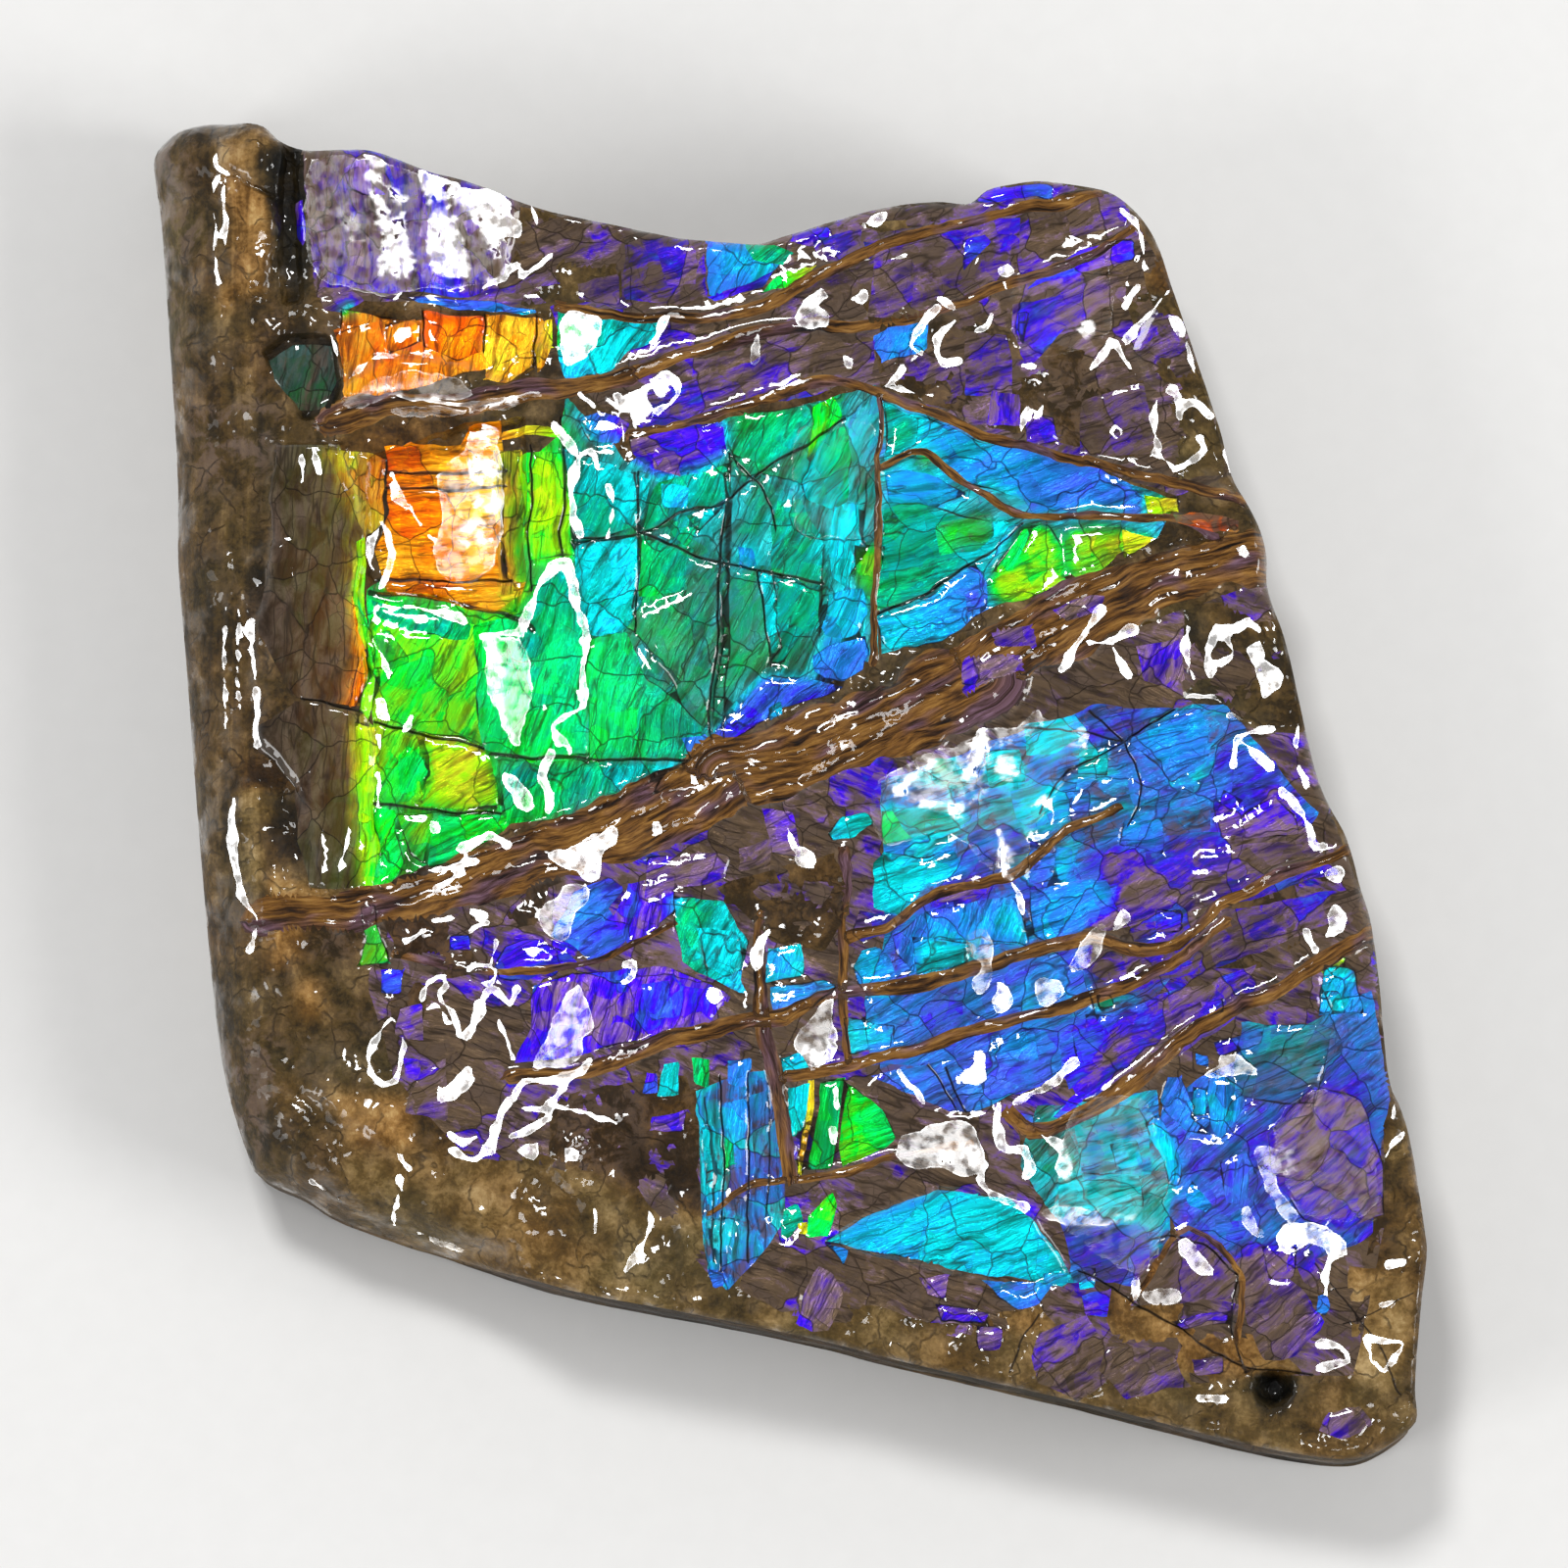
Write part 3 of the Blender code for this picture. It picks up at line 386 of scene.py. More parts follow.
    ((0.52, 0.6, 90), 0.9, 0.2, 60, (575, 460, 650, 480, 652, 540, 582, 548)),
    (0.5, 0.85, 0.2, 60, (672, 490, 742, 470, 742, 505, 700, 520, 680, 535, 655, 540, 665, 500)),
    (0.62, 1, 0.1, 60, (675, 495, 700, 495, 700, 518, 675, 520)),
    ((0.45, 0.7, 40), 1, 0.1, 60, (700, 520, 741, 508, 720, 532, 712, 536)),
    (0.47, 0.9, 0.2, 60, (682, 535, 712, 536, 702, 558, 680, 545)),
    ((0.58, 0.62, 0), 0.9, 0.2, 60, (585, 552, 650, 545, 655, 610, 640, 635, 620, 650, 600, 650,
        592, 600)),
    ((0.42, 0.56, 0), 0.9, 0.2, 60, (655, 552, 700, 560, 702, 600, 655, 612)),
    (0.54, 0.5, 0.3, 60, (700, 560, 738, 575, 735, 650, 728, 745, 700, 720, 650, 640, 645, 620,
        702, 600)),
    (0.5, 0.55, 0.3, 60, (745, 575, 790, 580, 795, 640, 800, 660, 780, 685, 745, 715, 728, 745,
        735, 650)),
    ((0.42, 0.56, 0), 0.8, 0.2, 75, (600, 655, 640, 640, 660, 690, 700, 720, 728, 749, 700, 780,
        640, 800, 600, 780)),
    ((0.44, 0.6, -40), 0.85, 0.3, 60, (745, 430, 760, 420, 825, 408, 828, 430, 820, 450, 795, 470,
        770, 490, 755, 475, 745, 450)),
    (0.54, 0.6, 0.3, 60, (745, 460, 790, 475, 800, 505, 790, 545, 785, 575, 745, 572)),
    (0.38, 1, 0.1, 75, (828, 412, 850, 400, 862, 425, 840, 440, 822, 462, 826, 440)),
    ((0.62, 0.5, 0), 0.9, 0.2, 60, (825, 465, 845, 440, 868, 432, 868, 455, 866, 480, 865, 510,
        850, 518, 825, 510, 818, 490)),
    ((0.5, 0.56, 0), 0.8, 0.2, 60, (790, 510, 818, 508, 822, 520, 845, 560, 835, 600, 790, 582,
        785, 540)),
    (0.68, 1, 0.1, 60, (755, 555, 768, 575)),
    ((0.6, 0.54, 0), 0.9, 0.2, 60, (772, 580, 835, 600, 835, 640, 818, 650, 800, 675, 792, 680,
        785, 640)),
    (0.62, 0.95, 0.2, 75, (852, 515, 875, 510, 880, 540, 885, 560, 860, 600, 850, 590, 846, 570)),
    (0.32, 0.5, 0.4, 75, (880, 555, 895, 555, 895, 605, 882, 605)),
    (0.68, 1, 0.1, 60, (845, 605, 880, 600, 885, 625, 870, 645, 842, 650, 838, 640)),
    (0.76, 0.95, 0.2, 60, (828, 668, 860, 650, 880, 645, 885, 665, 880, 685, 860, 695, 840, 690,
        828, 680)),
    (0.84, 0.9, 0.3, 40, (724, 749, 745, 725, 770, 700, 790, 690, 830, 690, 860, 700, 820, 715,
        785, 725, 770, 735, 740, 755)),
    (0.68, 1, 0.1, 40, (780, 720, 795, 712, 795, 728, 782, 732)),
    ((0.46, 0.6, 0), 0.85, 0.3, 70, (505, 775, 700, 778, 680, 790, 655, 805, 590, 815, 560, 830,
        515, 845, 512, 800)),
    (0.74, 0.9, 0.2, 70, (690, 758, 720, 745, 724, 762, 700, 775)),
    (0.24, 0.9, 0.2, 40, (665, 812, 680, 790, 700, 783, 690, 800, 672, 812)),
    ((0.64, 0.86, 0), 0.9, 0.3, 20, (902, 408, 930, 420, 1000, 445, 1100, 462, 1170, 505, 1160, 512,
        1080, 515, 1040, 505, 990, 490, 945, 458, 905, 470)),
    (0.52, 0.9, 0.3, 20, (902, 410, 930, 422, 935, 455, 905, 465)),
    (0.72, 0.95, 0.2, 10, (905, 480, 930, 478, 960, 485, 985, 500, 960, 508, 905, 512)),
    (0.36, 0.5, 0.4, 20, (938, 465, 958, 462, 962, 474, 942, 476)),
    ((0.52, 0.66, 0), 1, 0.25, 20, (900, 520, 925, 508, 950, 510, 985, 525, 1025, 530, 1045, 535,
        1015, 560, 985, 578, 960, 590, 930, 610, 896, 622)),
    (0.46, 0.55, 0.6, 20, (955, 530, 1010, 522, 1015, 540, 995, 560, 960, 565)),
    ((0.66, 0.76, 0), 0.95, 0.2, 20, (896, 626, 930, 612, 960, 600, 985, 580, 1000, 575, 1010, 590,
        1010, 620, 960, 650, 905, 662, 897, 650)),
    (0.86, 0.6, 0.3, 20, (985, 600, 1005, 598, 1005, 620, 985, 622)),
    (0.3, 0.7, 0.4, 20, (1010, 590, 1020, 575, 1045, 535, 1070, 535, 1085, 560, 1090, 590, 1070, 600,
        1035, 615, 1012, 612)),
    (0.38, 1, 0.1, 60, (1018, 580, 1045, 540, 1056, 538, 1040, 575, 1025, 584)),
    (0.33, 0.55, 0.5, 20, (1085, 540, 1150, 535, 1145, 560, 1125, 575, 1100, 590, 1090, 575)),
    (0.22, 0.95, 0.2, 20, (1145, 535, 1180, 545, 1165, 560, 1148, 565)),
    (0.26, 0.9, 0.2, 20, (1168, 510, 1200, 510, 1200, 522, 1170, 524)),
    ((0.78, 0.86, 0), 0.8, 0.3, 30, (585, 910, 620, 895, 635, 905, 620, 930, 640, 960, 620, 975,
        600, 980, 580, 965, 560, 955)),
    (0.88, 0.75, 0.3, 80, (640, 900, 690, 890, 690, 930, 670, 950, 640, 965, 625, 940)),
    (0.93, 0.6, 0.4, 20, (660, 880, 740, 905)),
    (0.88, 1, 0.1, 20, (515, 965, 545, 960, 580, 975, 590, 985, 560, 990, 540, 1000, 510, 1000,
        505, 985)),
    ((0.865, 0.89, 0), (1, 0.85, 0), 0.3, 75, (545, 1005, 580, 995, 680, 985, 745, 1018, 720, 1045,
        640, 1065, 600, 1075, 525, 1085, 540, 1050)),
    (0.84, 0.9, 0.1, 75, (660, 1000, 680, 1040)),
    (0.82, 0.9, 0.1, 75, (628, 1000, 640, 1012)),
    (0.88, 0.8, 0.2, 20, (460, 955, 480, 970)),
    (0.84, 0.8, 0.2, 20, (390, 990, 410, 1012)),
    (0.9, 0.6, 0.5, 20, (405, 1025, 435, 1055)),
    (0.9, 0.8, 0.5, 20, (412, 1080, 425, 1100)),
    (0.93, 0.5, 0.6, 20, (420, 1085, 460, 1140)),
    (0.9, 0.9, 0.2, 20, (785, 825, 815, 870)),
    (0.92, 0.4, 0.6, 20, (750, 860, 790, 885)),
    ((0.5, 0.64, 0), 0.95, 0.3, 60, (690, 918, 705, 915, 740, 920, 765, 960, 755, 1000, 762, 1012,
        745, 1010, 720, 995, 695, 980, 690, 950)),
    (0.64, 1, 0.2, 60, (712, 948, 755, 950, 758, 980, 750, 1004, 722, 985)),
    (0.75, 0.5, 0.8, 20, (900, 800, 1110, 720, 1250, 720, 1345, 830, 1300, 900, 1100, 950, 900, 1005)),
    (0.76, 0.45, 0.9, 20, (880, 1010, 1100, 960, 1230, 950, 1150, 1060, 1040, 1120, 900, 1100)),
    (0.86, 0.6, 0.6, 25, (1240, 760, 1300, 775, 1345, 860, 1350, 890, 1270, 905, 1235, 850)),
    (0.91, 0.5, 0.8, 25, (1050, 880, 1180, 850, 1330, 850, 1370, 890, 1240, 925, 1130, 950, 1060, 930)),
    (0.94, 0.45, 1, 25, (1120, 960, 1240, 930, 1390, 905, 1385, 930, 1250, 985, 1150, 1010, 1110, 990)),
    (0.78, 0.6, 0.4, 30, (880, 1020, 960, 1000, 1095, 965, 1120, 1040, 1000, 1080, 890, 1090)),
    (0.9, 0.5, 0.8, 30, (1100, 1040, 1240, 1000, 1280, 985, 1260, 1040, 1150, 1110, 1100, 1120,
        1075, 1080)),
    (0.8, 0.45, 0.6, 40, (1190, 1120, 1290, 1070, 1400, 1010, 1418, 1120, 1400, 1260, 1330, 1290,
        1210, 1290, 1180, 1200)),
    (0.7, 0.5, 0.9, 88, (712, 1115, 760, 1095, 800, 1090, 802, 1240, 770, 1290, 742, 1320, 722, 1300,
        712, 1200)),
    (0.62, 0.5, 0.8, 40, (1060, 1130, 1180, 1110, 1200, 1200, 1190, 1290, 1090, 1260, 1040, 1190)),
    (0.94, 0.5, 0.6, 30, (1060, 1360, 1110, 1345, 1140, 1400, 1100, 1430, 1060, 1410, 1050, 1385)),
    (0.93, 0.6, 0.5, 40, (1355, 1440, 1385, 1432, 1400, 1455, 1370, 1470, 1345, 1460)),
    (0.95, 0.5, 0.7, 30, (1130, 1375, 1190, 1378, 1215, 1415, 1150, 1425, 1120, 1400)),
    (0.2, 0.95, 0.2, 85, (826, 1103, 833, 1103, 827, 1150, 819, 1197, 813, 1196, 820, 1150)),
    (0.3, 0.9, 0.2, 20, (1350, 993, 1368, 978, 1372, 981, 1356, 997, 1351, 997)),
    (0.57, 0.1, 0.9, 80, (275, 360, 300, 346, 335, 350, 341, 385, 331, 410, 305, 412, 282, 385)),
    (0.6, 0.9, 0.2, 20, (845, 850, 860, 835, 885, 830, 892, 840, 870, 855, 850, 858)),
    (0.46, 0.9, 0.2, 40, (900, 832, 925, 830, 930, 855, 905, 865)),
    (0.58, 0.85, 0.3, 20, (910, 825, 940, 825, 990, 830, 985, 840, 960, 855, 930, 855)),
    (0.62, 0.95, 0.2, 20, (1005, 770, 1040, 760, 1040, 795, 1010, 800)),
    (0.64, 0.95, 0.2, 20, (1045, 740, 1095, 725, 1110, 745, 1080, 770, 1048, 768)),
    (0.7, 0.75, 0.4, 20, (1030, 805, 1070, 795, 1100, 800, 1090, 835, 1050, 845, 1035, 835)),
    (0.5, 0.7, 0.4, 20, (945, 790, 955, 775, 970, 775, 985, 790, 990, 800, 970, 805, 955, 800)),
    ((0.62, 0.74, 0), 0.95, 0.2, 20, (890, 880, 900, 868, 935, 872, 970, 868, 980, 885, 975, 895,
        940, 905, 925, 935, 890, 925)),
    (0.92, 0.6, 0.4, 20, (878, 930, 895, 930, 920, 935, 905, 950, 880, 962, 872, 955)),
    (0.88, 0.7, 0.4, 20, (955, 905, 1005, 900, 1005, 915, 958, 918)),
    ((0.78, 0.66, 0), 0.9, 0.3, 70, (910, 955, 945, 930, 970, 925, 1035, 915, 1045, 935, 1052, 960,
        1000, 965, 980, 985, 935, 998, 915, 975)),
    (0.6, 0.9, 0.3, 20, (930, 958, 985, 955, 985, 980, 940, 995)),
    (0.7, 0.9, 0.3, 20, (870, 985, 880, 970, 895, 966, 908, 980, 915, 1005, 905, 1018, 885, 1018,
        872, 1000)),
    (0.64, 0.8, 0.4, 70, (785, 965, 820, 1000)),
    (0.68, 0.7, 0.4, 20, (788, 1010, 840, 1000, 852, 1005, 830, 1030, 800, 1045, 788, 1040)),
    (0.68, 0.75, 0.4, 20, (860, 1045, 915, 1040, 915, 1072, 865, 1078)),
    (0.72, 0.95, 0.3, 20, (1050, 905, 1130, 898, 1140, 930, 1100, 945, 1070, 960, 1055, 950)),
    (0.82, 0.8, 0.4, 20, (1050, 865, 1075, 865, 1075, 895, 1050, 900)),
    (0.68, 0.8, 0.4, 20, (1078, 862, 1100, 860, 1100, 895, 1078, 898)),
    (0.56, 0.8, 0.3, 20, (1100, 760, 1130, 762, 1128, 788, 1102, 790)),
    ((0.73, 0.8, 0), 0.85, 0.3, 20, (1150, 755, 1195, 722, 1225, 725, 1235, 760, 1230, 775, 1195, 795,
        1165, 765)),
    (0.75, 0.65, 0.5, 20, (1150, 790, 1200, 800, 1262, 785, 1258, 815, 1200, 822, 1155, 820)),
    (0.88, 0.8, 0.3, 20, (1250, 805, 1270, 815, 1240, 835)),
    ((0.86, 0.9, 0), 0.7, 0.3, 25, (1245, 850, 1275, 825, 1300, 808, 1320, 830, 1325, 850, 1280, 855)),
    (0.92, 0.5, 0.6, 20, (1220, 870, 1290, 860, 1330, 860, 1310, 880, 1260, 895, 1220, 885)),
    (0.88, 0.8, 0.4, 20, (1180, 925, 1200, 950)),
    (0.75, 0.85, 0.3, 20, (1145, 842, 1195, 840, 1195, 866, 1148, 870)),
    (0.88, 0.8, 0.3, 20, (1105, 1032, 1160, 1028, 1158, 1043, 1108, 1048)),
    (0.84, 0.7, 0.4, 20, (1225, 1020, 1250, 1018, 1250, 1035, 1228, 1036)),
    (0.58, 0.9, 0.2, 20, (1120, 1015, 1135, 1014, 1135, 1024, 1121, 1026)),
    (0.72, 0.85, 0.4, 60, (1345, 990, 1382, 988, 1386, 1035, 1350, 1037)),
    (0.68, 1, 0.2, 60, (1355, 1012, 1370, 1010, 1370, 1033, 1356, 1034)),
    ((0.8, 0.74, 0), 0.65, 0.4, 25, (890, 1100, 950, 1085, 1000, 1070, 1040, 1050, 1095, 1050,
        1100, 1080, 1060, 1110, 1030, 1120, 1000, 1135, 970, 1135, 940, 1120)),
    (0.72, 0.9, 0.3, 25, (1010, 1054, 1058, 1050, 1060, 1074, 1012, 1076)),
    (0.84, 0.75, 0.5, 25, (1088, 1050, 1130, 1044, 1128, 1090, 1090, 1110)),
    (0.88, 0.8, 0.4, 25, (1040, 1140, 1058, 1155)),
    (0.88, 0.9, 0.2, 25, (1075, 1140, 1090, 1120, 1110, 1105, 1105, 1120, 1085, 1140)),
    (0.84, 0.9, 0.2, 80, (660, 1098, 672, 1118)),
    (0.6, 0.95, 0.2, 80, (674, 1092, 695, 1090, 695, 1116, 675, 1118)),
    (0.47, 0.95, 0.2, 80, (705, 1086, 725, 1085, 725, 1110, 706, 1110)),
    (0.72, 0.9, 0.3, 80, (745, 1082, 765, 1080, 765, 1107, 746, 1108)),
    (0.93, 0.7, 0.4, 20, (665, 1136, 700, 1135, 698, 1155, 667, 1156)),
    (0.64, 0.95, 0.2, 20, (795, 1080, 815, 1075, 825, 1090, 820, 1100, 798, 1098)),
    (0.66, 0.95, 0.2, 85, (715, 1145, 728, 1150, 730, 1190, 728, 1230, 720, 1225, 716, 1180)),
    (0.7, 0.9, 0.3, 85, (740, 1125, 765, 1120, 762, 1160, 750, 1170, 742, 1150)),
    (0.5, 0.95, 0.2, 85, (738, 1160, 750, 1170, 755, 1190, 742, 1195)),
    (0.72, 0.35, 0.9, 85, (762, 1112, 800, 1110, 803, 1198, 762, 1196)),
    (0.6, 0.9, 0.2, 85, (803, 1110, 828, 1105, 820, 1150, 810, 1160, 805, 1130)),
    (0.44, 0.95, 0.2, 80, (838, 1105, 862, 1100, 855, 1150, 850, 1190, 825, 1192, 832, 1150)),
    ((0.36, 0.44, 0), 1, 0.1, 20, (865, 1105, 905, 1135, 915, 1160, 905, 1170, 860, 1190, 855, 1170)),
    (0.55, 0.9, 0.2, 20, (800, 1230, 815, 1225, 820, 1245, 805, 1262, 795, 1262)),
    (0.42, 0.95, 0.2, 60, (825, 1240, 850, 1215, 855, 1230, 845, 1262, 825, 1265)),
    (0.26, 0.9, 0.2, 60, (816, 1248, 826, 1246, 826, 1260, 817, 1260)),
    (0.62, 0.65, 0.4, 85, (725, 1240, 745, 1240, 745, 1300, 727, 1300)),
    (0.8, 1, 0.1, 20, (722, 1300, 735, 1300, 738, 1312, 728, 1316)),
    (0.64, 1, 0.1, 20, (843, 1268, 886, 1240, 925, 1225, 953, 1215, 985, 1220, 1030, 1222, 1050, 1240,
        1075, 1275, 1095, 1305, 1085, 1315, 1060, 1310, 1030, 1302, 1000, 1300, 940, 1285, 870, 1275)),
    (0.72, 1, 0.1, 20, (843, 1270, 865, 1278, 862, 1292)),
    ((0.7, 0.78, 0), 0.85, 0.3, 20, (1000, 1305, 1075, 1310, 1060, 1330, 1040, 1335, 1020, 1325)),
    (0.9, 0.85, 0.2, 20, (940, 1300, 965, 1302, 965, 1325, 942, 1322)),
    (0.89, 1, 0.1, 20, (955, 1330, 1010, 1332, 1008, 1355, 958, 1350)),
    (0.92, 0.7, 0.3, 20, (1000, 1352, 1020, 1352, 1020, 1377, 1002, 1376)),
    (0.68, 0.9, 0.2, 20, (1062, 1301, 1095, 1300, 1094, 1315, 1064, 1314)),
    (0.7, 0.95, 0.2, 20, (1100, 1296, 1114, 1295, 1115, 1317, 1101, 1318)),
    (0.88, 0.7, 0.3, 20, (1105, 1322, 1134, 1320, 1135, 1349, 1106, 1350)),
    (0.62, 0.75, 0.4, 20, (1080, 1202, 1160, 1198, 1162, 1236, 1082, 1240)),
    (0.68, 0.4, 0.6, 20, (1100, 1132, 1170, 1128, 1172, 1196, 1102, 1200)),
    (0.66, 0.9, 0.3, 20, (1135, 1166, 1160, 1164, 1160, 1190, 1136, 1192)),
    (0.8, 0.4, 0.6, 20, (1085, 1252, 1170, 1250, 1172, 1298, 1088, 1300)),
    (0.93, 0.65, 0.4, 60, (812, 1350, 825, 1315, 838, 1293, 852, 1300, 862, 1320, 850, 1345, 845, 1358,
        830, 1360)),
    (0.67, 0.95, 0.3, 80, (1170, 1145, 1185, 1135, 1200, 1165, 1205, 1190, 1200, 1210, 1190, 1208,
        1185, 1180)),
    ((0.76, 0.66, -60), 0.95, 0.3, 60, (1190, 1100, 1205, 1100, 1220, 1130, 1215, 1140, 1225, 1150,
        1240, 1160, 1210, 1155, 1195, 1135, 1185, 1120)),
    (0.7, 0.95, 0.2, 80, (1215, 1110, 1230, 1112, 1229, 1140, 1216, 1138)),
    (0.71, 0.95, 0.3, 80, (1235, 1100, 1262, 1100, 1270, 1125, 1260, 1145, 1245, 1165, 1235, 1150,
        1232, 1120)),
    (0.74, 0.9, 0.2, 20, (1218, 1078, 1235, 1077, 1234, 1090, 1219, 1090)),
    (0.7, 0.3, 0.4, 20, (1260, 1052, 1350, 1050, 1348, 1118, 1265, 1120)),
    (0.84, 0.7, 0.3, 20, (1240, 1060, 1290, 1058, 1288, 1074, 1242, 1076)),
    ((0.88, 0.93, 0), 0.45, 0.4, 40, (1293, 1156, 1320, 1130, 1343, 1110, 1390, 1125, 1412, 1184,
        1413, 1238, 1363, 1257, 1330, 1245, 1300, 1200)),
    (0.72, 0.9, 0.2, 20, (1210, 1215, 1218, 1205, 1228, 1215, 1240, 1230, 1232, 1238, 1215, 1230)),
    (0.76, 0.7, 0.4, 80, (1245, 1182, 1270, 1180, 1269, 1224, 1246, 1225)),
    (0.8, 0.75, 0.3, 20, (1240, 1242, 1275, 1240, 1273, 1266, 1242, 1268)),
    (0.94, 0.35, 0.6, 40, (1150, 1330, 1165, 1290, 1205, 1265, 1225, 1262, 1262, 1296, 1255, 1325)),
    (0.93, 0.5, 0.5, 40, (1258, 1285, 1290, 1280, 1330, 1320, 1350, 1350, 1345, 1360, 1320, 1385,
        1290, 1385, 1270, 1350, 1262, 1320)),
    (0.89, 0.8, 0.3, 40, (1290, 1277, 1320, 1275, 1320, 1308, 1292, 1306)),
    (0.94, 0.4, 0.6, 40, (1322, 1280, 1345, 1275, 1345, 1318, 1324, 1312)),
    (0.72, 1, 0.1, 20, (1342, 1322, 1352, 1320, 1356, 1334, 1350, 1344, 1343, 1340)),
    (0.9, 0.6, 0.4, 20, (1200, 1342, 1250, 1340, 1248, 1358, 1203, 1360)),
    (0.9, 0.7, 0.4, 20, (1220, 1386, 1250, 1385, 1249, 1398, 1222, 1398)),
)

# The first panels are the plain ones that the rest lie on, which stone may break through
BACKDROPS = 2

# Panels with at least this much mottle run into their neighbours, over this many rows of triangles
LEAST_SOFT_MOTTLE = 0.3
SOFTENING = 3

# Panels with no more than this mottle show their outline as a fine crack that comes and goes. The widths
# are in millimetres
OUTLINED_MOTTLE = 0.45
OUTLINE_WIDTH = 0.005
OUTLINE_WAVER = 0.045

# Bits of violet and blue shell caught in the seams
INCLUSIONS = (
    (0.05, 0.5, 1, 10, (1195, 524, 1225, 519, 1264, 528, 1262, 540, 1230, 538, 1200, 532)),
    (0.92, 0.8, 0.3, 30, (981, 672, 1042, 660, 1042, 690, 985, 702)),
    (0.92, 0.7, 0.4, 30, (1075, 620, 1100, 608, 1128, 606, 1122, 625, 1090, 630)),
    (0.9, 0.6, 0.4, 30, (1011, 646, 1053, 640, 1052, 655, 1014, 662)),
    (0.92, 0.7, 0.4, 60, (1160, 660, 1205, 650, 1208, 690, 1190, 700, 1165, 695)),
)

# Cracks: half width in millimetres, then the points
CRACKS = (
    (0.05, (1140, 1292, 1180, 1265, 1230, 1275, 1260, 1300)),
    (0.04, (1260, 1300, 1255, 1350, 1270, 1400)), (0.04, (1060, 1340, 1040, 1370, 1030, 1400)),
    (0.04, (1340, 1290, 1390, 1350, 1430, 1420)),
    (0.05, (1100, 1300, 1180, 1340, 1260, 1390, 1340, 1402)), (0.05, (735, 1100, 739, 1190, 736, 1300)),
    (0.05, (762, 1095, 766, 1180, 764, 1290)), (0.04, (782, 1100, 786, 1170, 783, 1240)),
    (0.04, (721, 1120, 726, 1200, 728, 1290)),
    (0.1, (378, 602, 420, 606, 470, 616, 530, 630, 545, 640)), (0.04, (648, 480, 652, 560, 645, 615)),
    (0.04, (738, 480, 743, 600, 738, 749)), (0.03, (840, 560, 836, 650)), (0.04, (885, 480, 880, 570)),
    (0.03, (1370, 1350, 1400, 1338, 1440, 1320)), (0.05, (308, 713, 370, 725)),
    (0.06, (383, 735, 489, 766)), (0.06, (383, 818, 510, 832)), (0.07, (500, 770, 700, 778)),
    (0.06, (587, 547, 652, 542, 702, 516, 741, 508, 790, 470, 865, 425)),
    (0.06, (657, 542, 702, 561, 769, 578, 840, 595)), (0.06, (896, 626, 978, 584, 1045, 533)),
    (0.05, (745, 460, 775, 495, 790, 540)), (0.05, (772, 580, 790, 680)), (0.06, (740, 480, 724, 749)),
    (0.05, (950, 1085, 975, 1130)), (0.05, (965, 1090, 985, 1135)), (0.05, (1147, 755, 1110, 725)),
    (0.05, (1147, 755, 1195, 722)), (0.05, (1147, 755, 1165, 800, 1150, 840)),
    (0.05, (1147, 755, 1090, 790, 1060, 830)), (0.05, (1147, 755, 1100, 745, 1040, 742)),
    (0.07, (390, 480, 515, 476)), (0.06, (392, 497, 515, 492)), (0.06, (385, 590, 520, 588)),
    (0.05, (430, 316, 432, 352)), (0.05, (492, 316, 491, 352)), (0.05, (545, 320, 545, 372)),
    (0.06, (573, 425, 574, 568)), (0.05, (540, 455, 541, 600)), (0.05, (652, 480, 648, 640)),
)

